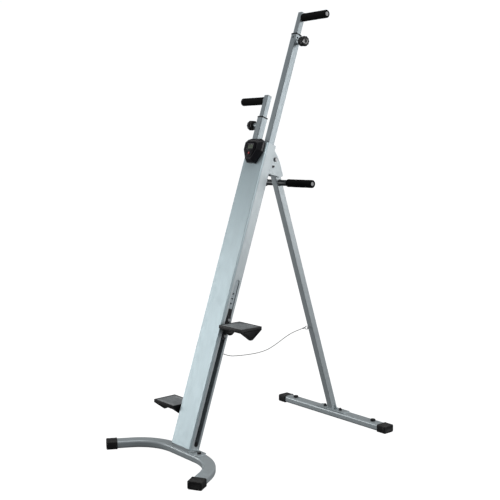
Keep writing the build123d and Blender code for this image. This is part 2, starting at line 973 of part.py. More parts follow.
def carriage(side):
    """Plastic block that carries the pedal and guides the tube's lower end."""
    shift = shift_of(side)
    middle_x = side * (carriage_inner_x + carriage_outer_x) / 2
    width = carriage_outer_x - carriage_inner_x
    clamp_face = pulley_radius + belt_thickness + moving_gap
    with BuildPart() as block:
        with BuildSketch(column_plane.offset(carriage_bottom + shift)):
            with Locations((middle_x, (carriage_front_d + carriage_rear_d) / 2)):
                RectangleRounded(width, carriage_rear_d - carriage_front_d, 3.0)
        extrude(amount=right_tube_end - carriage_bottom)
        with BuildSketch(column_plane.offset(right_tube_end + shift)):
            with Locations(*tube_places(side)):
                RectangleRounded(bush_neck_outer, bush_neck_outer, tube_corner - tube_wall)
        extrude(amount=plug_depth)
        with BuildSketch(side_plane(side * carriage_inner_x, shift)):
            with Locations((tube_d, (carriage_bottom + right_tube_end) / 2)):
                Rectangle(belt_width + 2 * clamp_side_margin, clamp_height)
        extrude(amount=-side * (carriage_inner_x - clamp_face))
        with BuildSketch(side_plane(side * (carriage_outer_x - 16.0), shift)):
            with Locations(
                (slot_depth_position, bracket_bolt_low),
                (slot_depth_position, bracket_bolt_high),
            ):
                Circle(4.0)
        extrude(amount=side * 20.0, mode=Mode.SUBTRACT)
        with BuildSketch(side_plane(side * tube_x, shift)):
            with Locations((tube_d, right_tube_end + low_hole_steps[0])):
                Circle(height_hole / 2)
        extrude(amount=side * tube_size, mode=Mode.SUBTRACT)
    block.part.label = SIDE_NAMES[side] + "_carriage"
    return block


bracket_outer_x = carriage_outer_x + bracket_thickness
shelf_end_x = pedal_end_x - 12.0


def pedal_bracket(side):
    """Steel bracket that passes through the slot and carries the pedal."""
    shift = shift_of(side)
    place = column_point(0, slot_depth_position, pedal_level + shift)
    shelf_mid_x = (carriage_outer_x + shelf_end_x) / 2
    with BuildPart() as bracket:
        with BuildSketch(side_plane(side * carriage_outer_x, shift)):
            with Locations((slot_depth_position, (carriage_bottom + bracket_top) / 2)):
                RectangleRounded(bracket_width, bracket_top - carriage_bottom, 4.0)
            with Locations(
                (slot_depth_position, bracket_bolt_low),
                (slot_depth_position, bracket_bolt_high),
            ):
                Circle(4.0, mode=Mode.SUBTRACT)
        extrude(amount=side * bracket_thickness)
        with Locations((side * (bracket_outer_x + shelf_end_x) / 2, place.Y, place.Z)):
            Box(shelf_end_x - bracket_outer_x, shelf_width, shelf_thickness)
        with BuildSketch(Plane.XZ.offset(-place.Y - 2.5)):
            with BuildLine():
                Polyline(
                    (side * bracket_outer_x, place.Z - shelf_thickness / 2),
                    (side * (bracket_outer_x + 50.0), place.Z - shelf_thickness / 2),
                    (side * bracket_outer_x, place.Z - shelf_thickness / 2 - 22.0),
                    close=True,
                )
            make_face()
        extrude(amount=5.0)
    bracket.part.label = SIDE_NAMES[side] + "_pedal_bracket"
    return bracket


pedal_ribs = 9
tread_margin = 11.0
bolt_head_radius = 5.5
skirt = 9.0
lip_drop = 13.0
keel_half = 6.0


def pedal(side):
    """Moulded pedal with a ribbed top and deep skirts at both ends."""
    shift = shift_of(side)
    place = column_point(0, slot_depth_position, pedal_level + shift)
    top = place.Z + shelf_thickness / 2 + pedal_plate
    half = pedal_length / 2
    width = pedal_end_x - pedal_start_x
    with BuildPart() as tread:
        with BuildSketch(Plane.YZ.offset(side * pedal_start_x)):
            with BuildLine():
                Polyline(
                    (place.Y - half, top),
                    (place.Y - half, top - lip_drop),
                    (place.Y - keel_half, top - pedal_keel),
                    (place.Y + keel_half, top - pedal_keel),
                    (place.Y + half, top - lip_drop),
                    (place.Y + half, top),
                    close=True,
                )
            make_face()
        extrude(amount=side * width)
        fillet(tread.edges().filter_by(Axis.X), 3.0)
        with Locations((side * (pedal_start_x + pedal_end_x) / 2, place.Y, top - pedal_plate - pedal_keel / 2)):
            Box(
                width - 2 * skirt,
                pedal_length - 8.0,
                pedal_keel,
                mode=Mode.SUBTRACT,
            )
        with BuildSketch(Plane.XZ.offset(-place.Y - pedal_length)):
            with BuildLine():
                Polyline(
                    (side * (pedal_start_x + skirt), top - pedal_keel - 1.0),
                    (side * (pedal_start_x + skirt + 20.0), top - lip_drop - 6.0),
                    (side * (pedal_end_x - skirt - 30.0), top - lip_drop - 6.0),
                    (side * (pedal_end_x - skirt), top - pedal_keel - 1.0),
                    close=True,
                )
            make_face()
        extrude(amount=2 * pedal_length, mode=Mode.SUBTRACT)
        with Locations((side * (bracket_outer_x + shelf_end_x) / 2, place.Y, place.Z)):
            Box(
                shelf_end_x - bracket_outer_x,
                shelf_width,
                shelf_thickness,
                mode=Mode.SUBTRACT,
            )
        with Locations((side * pedal_start_x, place.Y, place.Z - 12.0)):
            Box(2 * skirt + 2.0, 8.0, 24.0, mode=Mode.SUBTRACT)
        tread_length = pedal_length - 2 * tread_margin
        pitch = tread_length / pedal_ribs
        with BuildSketch(Plane.XY.offset(top - 1.2)):
            for index in range(pedal_ribs):
                y = place.Y - tread_length / 2 + (index + 0.5) * pitch
                with Locations((side * (pedal_start_x + pedal_end_x) / 2, y)):
                    RectangleRounded(width - 2 * tread_margin, pitch * 0.45, 1.5)
        extrude(amount=1.2, mode=Mode.SUBTRACT)
    tread.part.label = SIDE_NAMES[side] + "_pedal"
    return tread


def pedal_bolts(side):
    """Two button-head bolts that hold the bracket on the carriage."""
    shift = shift_of(side)
    with BuildPart() as bolts:
        with BuildSketch(side_plane(side * (carriage_outer_x - 16.0), shift)):
            with Locations(
                (slot_depth_position, bracket_bolt_low),
                (slot_depth_position, bracket_bolt_high),
            ):
                Circle(4.0)
        extrude(amount=side * (16.0 + bracket_thickness))
        with BuildSketch(side_plane(side * bracket_outer_x, shift)):
            with Locations(
                (slot_depth_position, bracket_bolt_low),
                (slot_depth_position, bracket_bolt_high),
            ):
                Circle(bolt_head_radius)
        extrude(amount=side * 4.5)
        fillet(
            bolts.faces().sort_by(Axis.X)[-1 if side == RIGHT else 0].edges(),
            1.5,
        )
    bolts.part.label = SIDE_NAMES[side] + "_pedal_bolts"
    return bolts


tube_outer_x = tube_x + tube_size / 2


def knob_neck(side):
    """Threaded neck welded on the tube; the pin slides in it."""
    shift = shift_of(side)
    level = right_tube_top - knob_below_top
    with BuildPart() as neck:
        with BuildSketch(side_plane(side * tube_outer_x, shift)):
            with Locations((tube_d, level)):
                Circle(neck_diameter / 2)
                Circle(pin_diameter / 2 + pin_gap, mode=Mode.SUBTRACT)
        extrude(amount=side * (knob_start_x - moving_gap - tube_outer_x))
    neck.part.label = SIDE_NAMES[side] + "_knob_neck"
    return neck


def knob(side):
    """Fluted pull knob."""
    shift = shift_of(side)
    level = right_tube_top - knob_below_top
    with BuildPart() as grip_knob:
        with BuildSketch(side_plane(side * knob_start_x, shift)):
            with Locations((tube_d, level)):
                Circle(knob_diameter / 2)
                with PolarLocations(knob_diameter / 2 + 1.4, knob_flutes):
                    Circle(3.4, mode=Mode.SUBTRACT)
        extrude(amount=side * (knob_end_x - knob_start_x))
        with BuildSketch(side_plane(side * knob_start_x, shift)):
            with Locations((tube_d, level)):
                Circle(pin_diameter / 2)
        extrude(amount=side * 20.0, mode=Mode.SUBTRACT)
        with BuildSketch(side_plane(side * (knob_end_x - knob_recess), shift)):
            with Locations((tube_d, level)):
                Circle(knob_diameter * 0.38)
        extrude(amount=side * knob_recess, mode=Mode.SUBTRACT)
    grip_knob.part.label = SIDE_NAMES[side] + "_knob"
    return grip_knob


def knob_pin(side):
    """Steel pin of the pull knob."""
    shift = shift_of(side)
    level = right_tube_top - knob_below_top
    with BuildPart() as pin:
        with BuildSketch(side_plane(side * pin_tip_x, shift)):
            with Locations((tube_d, level)):
                Circle(pin_diameter / 2)
        extrude(amount=side * (knob_start_x + 20.0 - pin_tip_x))
    pin.part.label = SIDE_NAMES[side] + "_knob_pin"
    return pin


def handle_tube(side):
    """Telescoping handle tube with its welded grip bar and height holes."""
    shift = shift_of(side)
    top = right_tube_top + handle_top_above
    pin_level = right_tube_top - knob_below_top
    bar_level = top - grip_below_top
    face_x = tube_x + handle_size / 2
    with BuildPart() as tube:
        extrude(
            tube_section(
                column_plane.offset(top - handle_length + shift),
                side * tube_x,
                tube_d,
                handle_size,
                handle_wall,
                handle_corner,
            ),
            amount=handle_length,
        )
        with BuildSketch(side_plane(side * tube_x, shift)):
            for index in range(-holes_below_rest, holes_above_rest + 1):
                with Locations((tube_d, pin_level + index * hole_pitch)):
                    Circle(height_hole / 2)
        extrude(amount=side * handle_size, mode=Mode.SUBTRACT)
        with BuildSketch(side_plane(side * face_x, shift)):
            with Locations((tube_d, bar_level)):
                Circle(grip_bar_diameter / 2)
        extrude(amount=side * (grip_end_x - 3.0 - face_x))
    tube.part.label = SIDE_NAMES[side] + "_handle_tube"
    return tube


def grip(side):
    """Foam grip on the handle's cross bar."""
    shift = shift_of(side)
    level = right_tube_top + handle_top_above - grip_below_top
    with BuildPart() as foam:
        with BuildSketch(side_plane(side * grip_start_x, shift)):
            with Locations((tube_d, level)):
                Circle(grip_diameter / 2)
        extrude(amount=side * (grip_end_x - grip_start_x))
        fillet(foam.edges().filter_by(GeomType.CIRCLE), 3.0)
        with BuildSketch(side_plane(side * grip_start_x, shift)):
            with Locations((tube_d, level)):
                Circle(grip_bar_diameter / 2)
        extrude(amount=side * (grip_end_x - 3.0 - grip_start_x), mode=Mode.SUBTRACT)
        with BuildSketch(side_plane(side * (grip_end_x - 3.0), shift)):
            with Locations((tube_d, level)):
                Circle(plug_radius)
        extrude(amount=side * 3.0, mode=Mode.SUBTRACT)
    foam.part.label = SIDE_NAMES[side] + "_grip"
    return foam


def handle_plugs(side):
    """Plastic plugs in the top of the handle tube and in the grip's end."""
    shift = shift_of(side)
    top = right_tube_top + handle_top_above
    level = top - grip_below_top
    with BuildPart() as plugs:
        with BuildSketch(column_plane.offset(top + shift)):
            with Locations(*tube_places(side)):
                RectangleRounded(handle_size, handle_size, 2.5)
        extrude(amount=2.0)
        with BuildSketch(column_plane.offset(top - 10.0 + shift)):
            with Locations(*tube_places(side)):
                Rectangle(handle_size - 2 * handle_wall - 2.0, handle_size - 2 * handle_wall - 2.0)
        extrude(amount=10.0)
        with BuildSketch(side_plane(side * (grip_end_x - 3.0), shift)):
            with Locations((tube_d, level)):
                Circle(plug_radius)
        extrude(amount=side * 2.6)
    plugs.part.label = SIDE_NAMES[side] + "_handle_plugs"
    return plugs


SIDE_BUILDERS = [
    slider_tube,
    tube_bush,
    carriage,
    pedal_bracket,
    pedal,
    pedal_bolts,
    knob_neck,
    knob,
    knob_pin,
    handle_tube,
    grip,
    handle_plugs,
]
side_parts = [build(side) for side in (RIGHT, LEFT) for build in SIDE_BUILDERS]

# ---------------------------------------------------------------- safety cable
cable_points = [
    (-161.0, 392.0),
    (-115.0, 368.5),
    (-61.0, 362.0),
    (-6.0, 358.5),
    (47.0, 357.5),
    (98.0, 362.5),
    (150.0, 380.0),
    (202.0, 403.5),
    (252.0, 419.5),
    (304.0, 426.0),
]
arc_share = 0.45


def bend_radii(points):
    """Largest tangent arcs that fit between the runs of a cord."""
    radii = []
    for before, at, after in zip(points, points[1:], points[2:]):
        first = Vector(*at) - Vector(*before)
        second = Vector(*after) - Vector(*at)
        turn = math.radians(first.get_angle(second))
        shorter = min(first.length, second.length)
        radii.append(arc_share * shorter / math.tan(turn / 2))
    return radii


cable_radii = bend_radii([(0, y, z) for y, z in cable_points])
print("safety cable bend radii", [round(radius) for radius in cable_radii])
cable_start = Vector(0, *cable_points[0])
cable_end = Vector(0, *cable_points[-1])
start_direction = (Vector(0, *cable_points[1]) - cable_start).normalized()
end_direction = (cable_end - Vector(0, *cable_points[-2])).normalized()

with BuildPart() as safety_cable:
    with BuildLine() as cable_path:
        FilletPolyline(*[(0, y, z) for y, z in cable_points], radius=cable_radii)
    with BuildSketch(Plane(origin=cable_start, z_dir=start_direction)):
        Circle(cable_diameter / 2)
    sweep(path=cable_path.wires()[0])
safety_cable.part.label = "safety_cable"
cable_section = math.pi * cable_diameter**2 / 4
cable_length = cable_path.wires()[0].length
print("safety cable volume", safety_cable.part.volume, cable_section * cable_length)

# Tab screwed on the back of the column, with a hole for the cable's end ring
anchor_thickness = 3.0
tab_end_d = 65.0
tab_hole_d = 60.0
tab_hole_radius = 2.8
tab_half_thickness = 2.0

with BuildPart() as cable_anchor:
    with BuildSketch(front_plane(column_depth + anchor_thickness)):
        with Locations((0, cable_exit_s)):
            RectangleRounded(18.0, 30.0, 4.0)
    extrude(amount=anchor_thickness)
    with BuildSketch(front_plane(column_depth)):
        with Locations((0, cable_exit_s)):
            Circle(anchor_hole / 2)
    extrude(amount=10.0)
    with BuildSketch(side_plane(-tab_half_thickness)):
        with Locations(((column_depth + tab_end_d) / 2, cable_exit_s)):
            Rectangle(tab_end_d - column_depth, 12.0)
        with Locations((tab_hole_d, cable_exit_s)):
            Circle(tab_hole_radius, mode=Mode.SUBTRACT)
    extrude(amount=2 * tab_half_thickness)
cable_anchor.part.label = "cable_anchor"

# Crimp on the cable's upper end, with the ring that passes through the tab
ferrule_radius = 3.0
upper_ferrule_length = 10.0
ring_wire = 1.0
ring_near = cable_start - start_direction * upper_ferrule_length
ring_far = column_point(0, tab_hole_d, cable_exit_s)
ring_centre = (ring_near + ring_far) * 0.5
ring_reach = (ring_far - ring_near).normalized()
ring_radius = (ring_far - ring_near).length / 2

with BuildPart() as cable_ferrule:
    with BuildSketch(Plane(origin=cable_start, z_dir=-start_direction)):
        Circle(ferrule_radius)
    extrude(amount=upper_ferrule_length)
    with BuildSketch(
        Plane(
            origin=ring_far,
            x_dir=ring_reach,
            z_dir=(1, 0, 0),
        )
    ):
        Circle(ring_wire)
    revolve(
        axis=Axis(tuple(ring_centre), tuple(ring_reach.cross(Vector(1, 0, 0)))),
        revolution_arc=360,
    )
cable_ferrule.part.label = "cable_ferrule"

# Eye screwed in the front of the leg
eye_radius = 5.0
eye_wire = 1.5
eye_stem = 3.0
eye_stem_radius = 3.0
eye_point = leg_plane.from_local_coords((0, -leg_size / 2, -eye_below))
eye_centre = eye_point - leg_back * (eye_stem + eye_radius + eye_wire)

with BuildPart() as leg_eye:
    with BuildSketch(
        Plane(origin=eye_centre + leg_back * eye_radius, x_dir=leg_back, z_dir=(1, 0, 0))
    ):
        Circle(eye_wire)
    revolve(axis=Axis(tuple(eye_centre), tuple(leg_up)), revolution_arc=360)
    with BuildSketch(
        Plane(
            origin=eye_point - leg_back * (eye_stem + eye_wire),
            x_dir=(1, 0, 0),
            z_dir=leg_back,
        )
    ):
        Circle(eye_wire)
    extrude(amount=eye_wire + eye_stem)
    with BuildSketch(
        Plane(origin=eye_point - leg_back * eye_wire, x_dir=(1, 0, 0), z_dir=leg_back)
    ):
        Circle(eye_stem_radius)
    extrude(amount=eye_wire + 5.0)
leg_eye.part.label = "leg_eye"

# Snap hook on the cable's lower end, closed through the eye
hook_ferrule_length = 14.0
hook_wire = 1.2
hook_width = 13.0
hook_start = cable_end + end_direction * hook_ferrule_length
hook_vector = eye_centre - hook_start
hook_direction = hook_vector.normalized()
hook_length = hook_vector.length

with BuildPart() as cable_hook:
    with BuildSketch(Plane(origin=cable_end, z_dir=end_direction)):
        Circle(ferrule_radius)
    extrude(amount=hook_ferrule_length)
    with BuildSketch(
        Plane(
            origin=hook_start + hook_vector * 0.5,
            x_dir=hook_direction,
            z_dir=(1, 0, 0),
        )
    ):
        SlotOverall(hook_length + 2 * hook_wire, hook_width + 2 * hook_wire)
        SlotOverall(
            hook_length - 2 * hook_wire, hook_width - 2 * hook_wire, mode=Mode.SUBTRACT
        )
    extrude(amount=hook_wire, both=True)
cable_hook.part.label = "cable_hook"

# ---------------------------------------------------------------- export
ALL_PARTS = [
    front_foot_tube,
    front_caps,
    front_saddle,
    saddle_bolts,
    column_channel,
    front_cover,
    top_guide,
    base_block,
    pulley_axles,
    upper_pulley,
    lower_pulley,
    drive_belt,
    console_housing,
    console_face,
    console_lcd,
    console_button,
    hinge_bracket,
    hinge_lugs,
    hinge_rivets,
    pivot_bolt,
    leg_tube,
    pivot_bushes,
    static_bar,
    static_grips,
    rear_foot_tube,
    rear_caps,
    rear_saddle,
    rear_bolts,
    right_leveler,
    left_leveler,
    safety_cable,
    cable_anchor,
    cable_ferrule,
    leg_eye,
    cable_hook,
] + side_parts

os.makedirs("parts", exist_ok=True)
for piece in ALL_PARTS:
    export_step(piece.part, "parts/" + piece.part.label + ".step")
    box = piece.part.bounding_box()
    print(piece.part.label, len(piece.part.solids()), box.min, box.max)
print(len(ALL_PARTS), "parts")
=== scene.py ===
"""Looks for a folding vertical climber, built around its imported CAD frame."""

import json
import logging
import math
from collections.abc import Callable, Iterable, Sequence
from dataclasses import dataclass
from enum import Enum
from typing import Any

import bmesh
import bpy
from mathutils import Matrix, Vector


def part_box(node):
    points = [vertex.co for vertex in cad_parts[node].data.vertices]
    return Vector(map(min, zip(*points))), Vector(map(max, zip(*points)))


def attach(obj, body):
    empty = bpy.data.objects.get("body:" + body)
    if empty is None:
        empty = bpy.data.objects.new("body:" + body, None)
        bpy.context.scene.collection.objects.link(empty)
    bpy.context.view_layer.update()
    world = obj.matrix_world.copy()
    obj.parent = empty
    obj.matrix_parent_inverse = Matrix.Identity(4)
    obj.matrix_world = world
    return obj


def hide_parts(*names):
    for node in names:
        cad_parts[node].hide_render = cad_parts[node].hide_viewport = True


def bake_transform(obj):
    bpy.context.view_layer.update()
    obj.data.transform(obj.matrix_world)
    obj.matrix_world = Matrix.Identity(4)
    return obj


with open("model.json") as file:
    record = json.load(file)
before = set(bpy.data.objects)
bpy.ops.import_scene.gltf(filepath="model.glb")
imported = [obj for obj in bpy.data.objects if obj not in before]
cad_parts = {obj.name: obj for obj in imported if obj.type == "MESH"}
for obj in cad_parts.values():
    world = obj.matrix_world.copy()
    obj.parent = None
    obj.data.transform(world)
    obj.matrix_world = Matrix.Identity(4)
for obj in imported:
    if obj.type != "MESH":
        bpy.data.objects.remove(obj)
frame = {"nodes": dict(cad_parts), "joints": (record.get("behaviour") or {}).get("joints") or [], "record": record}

log = logging.getLogger("climber")
MM = 0.001
Point = Sequence[float]
Test = Callable[[Vector, Vector], bool]


class Side(Enum):
    """The two halves of the machine, as the user stands on it."""

    RIGHT = 1
    LEFT = -1

    @property
    def word(self) -> str:
        """Name used at the start of node and body names."""
        return self.name.lower()


class Axis(Enum):
    """Directions that turned pieces are built along."""

    X = (1.0, 0.0, 0.0)
    Y = (0.0, 1.0, 0.0)
    Z = (0.0, 0.0, 1.0)

    @property
    def vector(self) -> Vector:
        """Unit vector of the axis."""
        return Vector(self.value)


# ------------------------------------------------------------------ places
@dataclass
class Tilt:
    """Upright working frame that leans like a part of the machine.

    Attributes:
        up: Direction that the part runs in, in the machine's frame.
    """

    up: Vector

    @property
    def matrix(self) -> Matrix:
        """Matrix from across, back and up into the machine's frame."""
        across = Axis.X.vector
        back = self.up.cross(across)
        return Matrix((across, back, self.up)).transposed().to_4x4()

    def span(self, node: str) -> tuple[Vector, Vector]:
        """Measure a CAD node in this frame.

        Args:
            node: Name of the CAD node.

        Returns:
            The lowest and highest corners.
        """
        inverse = self.matrix.inverted()
        points = [inverse @ v.co for v in frame["nodes"][node].data.vertices]
        low = Vector(min(p[i] for p in points) for i in range(3))
        high = Vector(max(p[i] for p in points) for i in range(3))
        return low, high


def joint_axis(name: str) -> Vector:
    """Read a joint's direction from the record.

    Args:
        name: Name of the joint.

    Returns:
        The unit axis.
    """
    found = next(j for j in frame["joints"] if j["name"] == name)
    return Vector(found["axis"]).normalized()


COLUMN = Tilt(joint_axis("right_stride"))
UPRIGHT = Tilt(Axis.Z.vector)


# ------------------------------------------------------------------ bench
def deselect() -> None:
    """Leave nothing selected, in object mode."""
    if bpy.context.mode != "OBJECT":
        bpy.ops.object.mode_set(mode="OBJECT")
    bpy.ops.object.select_all(action="DESELECT")


def pick(*pieces: bpy.types.Object) -> None:
    """Select these pieces alone and make the first one active.

    Args:
        pieces: The pieces to work on.
    """
    deselect()
    for piece in pieces:
        piece.select_set(True)
    bpy.context.view_layer.objects.active = pieces[0]


class Shaping:
    """Edit mode on one piece, with faces and edges picked by their place."""

    def __init__(self, piece: bpy.types.Object) -> None:
        """Keep the piece to be shaped."""
        self.piece = piece

    def __enter__(self) -> "Shaping":
        """Open edit mode with nothing selected."""
        pick(self.piece)
        bpy.ops.object.mode_set(mode="EDIT")
        self.nothing()
        return self

    def __exit__(self, *_: object) -> None:
        """Close edit mode."""
        bpy.ops.object.mode_set(mode="OBJECT")

    def nothing(self) -> None:
        """Drop the selection."""
        bpy.ops.mesh.select_mode(type="FACE")
        bpy.ops.mesh.select_all(action="DESELECT")

    def faces(self, test: Test) -> int:
        """Select the faces that pass a test.

        Args:
            test: Called with each face's middle and normal.

        Returns:
            How many faces were picked.
        """
        self.nothing()
        mesh = bmesh.from_edit_mesh(self.piece.data)
        count = 0
        for face in mesh.faces:
            if test(face.calc_center_median(), face.normal):
                face.select_set(True)
                count += 1
        bmesh.update_edit_mesh(self.piece.data)
        return count

    def edges(self, test: Test) -> int:
        """Select the edges that pass a test.

        Args:
            test: Called with each edge's two ends.

        Returns:
            How many edges were picked.
        """
        self.nothing()
        bpy.ops.mesh.select_mode(type="EDGE")
        mesh = bmesh.from_edit_mesh(self.piece.data)
        count = 0
        for edge in mesh.edges:
            if test(edge.verts[0].co, edge.verts[1].co):
                edge.select_set(True)
                count += 1
        bmesh.update_edit_mesh(self.piece.data)
        return count

    def corners(self, test: Callable[[Vector], bool]) -> int:
        """Select the corners that pass a test.

        Args:
            test: Called with each corner's place.

        Returns:
            How many corners were picked.
        """
        self.nothing()
        bpy.ops.mesh.select_mode(type="VERT")
        mesh = bmesh.from_edit_mesh(self.piece.data)
        count = 0
        for corner in mesh.verts:
            if test(corner.co):
                corner.select_set(True)
                count += 1
        bmesh.update_edit_mesh(self.piece.data)
        return count

    def everything(self) -> None:
        """Select the whole mesh."""
        bpy.ops.mesh.select_all(action="SELECT")

    def pull(self, move: Point) -> None:
        """Extrude the picked faces.

        Args:
            move: How far and where to.
        """
        bpy.ops.mesh.extrude_region_move(TRANSFORM_OT_translate={"value": tuple(move)})

    def scale(self, factors: Point, centre: Point) -> None:
        """Resize what is picked about a point.

        Args:
            factors: Factor along each axis.
            centre: The point that stays.
        """
        bpy.ops.transform.resize(value=tuple(factors), center_override=tuple(centre))

    def inset(self, width: float, depth: float = 0.0) -> None:
        """Inset the picked faces.

        Args:
            width: Width of the new border.
            depth: Height of the inner face, up along its normal.
        """
        bpy.ops.mesh.inset(thickness=width, depth=depth, use_boundary=True)

    def cut_off(self, point: Point, normal: Point) -> None:
        """Slice away what lies on the far side of a plane.

        Args:
            point: A point on the plane.
            normal: Direction of the side that goes.
        """
        self.everything()
        bpy.ops.mesh.bisect(
            plane_co=tuple(point), plane_no=tuple(normal), use_fill=True, clear_outer=True
        )

    def slice(self, point: Point, normal: Point) -> None:
        """Cut a line of edges where a plane crosses the mesh.

        Args:
            point: A point on the plane.
            normal: The plane's normal.
        """
        self.everything()
        bpy.ops.mesh.bisect(plane_co=tuple(point), plane_no=tuple(normal))

    def round_edges(self, width: float, steps: int) -> None:
        """Round the picked edges.

        Args:
            width: Radius.
            steps: Number of facets.
        """
        bpy.ops.mesh.bevel(offset=width, segments=steps, affect="EDGES", profile=0.5)

    def tidy(self, gap: float = 1e-6) -> None:
        """Merge doubles and turn every face outwards.

        Args:
            gap: Corners nearer than this become one.
        """
        self.everything()
        bpy.ops.mesh.remove_doubles(threshold=gap)
        self.everything()
        bpy.ops.mesh.normals_make_consistent(inside=False)


def settle(piece: bpy.types.Object) -> bpy.types.Object:
    """Move a piece's place, turn and scale into its mesh."""
    pick(piece)
    bpy.ops.object.transform_apply(location=True, rotation=True, scale=True)
    return piece


def block(name: str, centre: Point, size: Point) -> bpy.types.Object:
    """Start a piece as a box.

    Args:
        name: Name of the piece.
        centre: Middle of the box.
        size: Its three sizes.

    Returns:
        The box, ready to be shaped.
    """
    deselect()
    bpy.ops.mesh.primitive_cube_add(size=1.0, location=tuple(centre), scale=tuple(size))
    piece = bpy.context.object
    piece.name = piece.data.name = name
    return settle(piece)


def bar(name: str, start: Point, axis: Axis, length: float, radius: float, sides: int) -> bpy.types.Object:
    """Start a piece as a round bar.

    Args:
        name: Name of the piece.
        start: Middle of its first end.
        axis: Direction it runs in.
        length: Its length.
        radius: Its radius.
        sides: Number of sides.

    Returns:
        The bar, ready to be shaped.
    """
    deselect()
    turn = Axis.Z.vector.rotation_difference(axis.vector).to_euler()
    middle = Vector(start) + axis.vector * (length / 2)
    bpy.ops.mesh.primitive_cylinder_add(
        vertices=sides, radius=radius, depth=abs(length), location=middle, rotation=turn
    )
    piece = bpy.context.object
    piece.name = piece.data.name = name
    return settle(piece)


def turned(
    name: str,
    centre: Point,
    axis: Axis,
    profile: Sequence[Point],
    sides: int = 48,
    bore: Sequence[Point] = (),
) -> bpy.types.Object:
    """Turn a piece on a lathe, one ring after another.

    Args:
        name: Name of the piece.
        centre: A point on its axis, at distance zero.
        axis: The lathe's axis.
        profile: Distance and radius of each ring, from the back to the front.
        sides: Number of sides.
        bore: Distance and radius of more rings, from the first ring into the back.

    Returns:
        The turned piece.
    """
    first, second = profile[0], profile[1]
    origin = Vector(centre)
    piece = bar(
        name, origin + axis.vector * first[0], axis, second[0] - first[0], first[1], sides
    )

    def face_near(distance: float) -> Test:
        """Make a test for the end face at a distance."""
        spot = origin + axis.vector * distance
        return lambda c, n: (c - spot).length < 1e-5 and abs(n.dot(axis.vector)) > 0.99

    def follow(rings: Sequence[Point], distance: float, radius: float) -> None:
        """Pull the picked end face through the rings."""
        for place, size in rings:
            shape.pull(axis.vector * (place - distance))
            factor = size / radius
            factors = [1.0 if axis.value[i] else factor for i in range(3)]
            shape.scale(factors, origin + axis.vector * place)
            distance, radius = place, size

    with Shaping(piece) as shape:
        shape.faces(face_near(second[0]))
        factor = second[1] / first[1]
        factors = [1.0 if axis.value[i] else factor for i in range(3)]
        shape.scale(factors, origin + axis.vector * second[0])
        follow(profile[2:], second[0], second[1])
        if bore:
            shape.faces(face_near(first[0]))
            follow(bore, first[0], first[1])
        shape.tidy()
    return piece


def copied(piece: bpy.types.Object, name: str, place: Matrix) -> bpy.types.Object:
    """Copy a piece, with a mesh of its own, to another place.

    Args:
        piece: The piece to copy.
        name: Name of the copy.
        place: Matrix from the first place to the new one.

    Returns:
        The copy, with its place in its mesh.
    """
    pick(piece)
    bpy.ops.object.duplicate(linked=False)
    twin = bpy.context.object
    twin.name = twin.data.name = name
    twin.matrix_world = place
    settle(twin)
    if place.determinant() < 0:
        with Shaping(twin) as shape:
            shape.tidy()
    return twin


def joined(name: str, pieces: Sequence[bpy.types.Object]) -> bpy.types.Object:
    """Join pieces into one.

    Args:
        name: Name of the joined piece.
        pieces: The pieces to join.

    Returns:
        The joined piece.
    """
    pick(*pieces)
    if len(pieces) > 1:
        bpy.ops.object.join()
    piece = bpy.context.object
    piece.name = piece.data.name = name
    return piece


def modified(piece: bpy.types.Object, kind: str, **values: Any) -> bpy.types.Object:
    """Add a modifier and apply it.

    Args:
        piece: The piece.
        kind: Kind of modifier.
        values: Its settings.

    Returns:
        The same piece.
    """
    pick(piece)
    modifier = piece.modifiers.new(kind.lower(), kind)
    for key, value in values.items():
        setattr(modifier, key, value)
    bpy.ops.object.modifier_apply(modifier=modifier.name)
    return piece


def softened(piece: bpy.types.Object, width: float, steps: int = 2, angle: float = 30.0) -> bpy.types.Object:
    """Round the sharp edges of a piece.

    Args:
        piece: The piece.
        width: Radius of the rounding.
        steps: Facets in it.
        angle: Edges sharper than this many degrees are rounded.

    Returns:
        The same piece.
    """
    return modified(
        piece,
        "BEVEL",
        width=width,
        segments=steps,
        limit_method="ANGLE",
        angle_limit=math.radians(angle),
        use_clamp_overlap=True,
        miter_outer="MITER_ARC",
    )


def carved(piece: bpy.types.Object, cutters: Iterable[bpy.types.Object]) -> bpy.types.Object:
    """Cut shapes out of a piece.

    Args:
        piece: The piece.
        cutters: Shapes that are taken away, and then removed.

    Returns:
        The same piece.
    """
    for cutter in cutters:
        modified(piece, "BOOLEAN", operation="DIFFERENCE", object=cutter, solver="EXACT")
        bpy.data.objects.remove(cutter, do_unlink=True)
    return piece


def smoothed(piece: bpy.types.Object, degrees: float = 35.0) -> bpy.types.Object:
    """Shade a piece smooth, with its sharper edges kept."""
    pick(piece)
    bpy.ops.object.shade_smooth_by_angle(angle=math.radians(degrees))
    return piece


def look(name: str) -> bpy.types.Material:
    """Find the material made for a finish."""
    return bpy.data.materials[f"{name}_look"]


def fitted(
    piece: bpy.types.Object,
    body: str,
    finish: str,
    tilt: Tilt = UPRIGHT,
    stands_for: Sequence[str] = (),
) -> bpy.types.Object:
    """Put a finished piece on the machine.

    Args:
        piece: The piece, in the working frame.
        body: CAD body it moves with.
        finish: Name of its material.
        tilt: Working frame it was built in.
        stands_for: CAD nodes it replaces.

    Returns:
        The same piece.
    """
    piece.matrix_world = tilt.matrix
    settle(piece)
    piece.data.materials.clear()
    piece.data.materials.append(look(finish))
    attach(piece, body)
    if stands_for:
        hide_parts(*stands_for)
    return piece


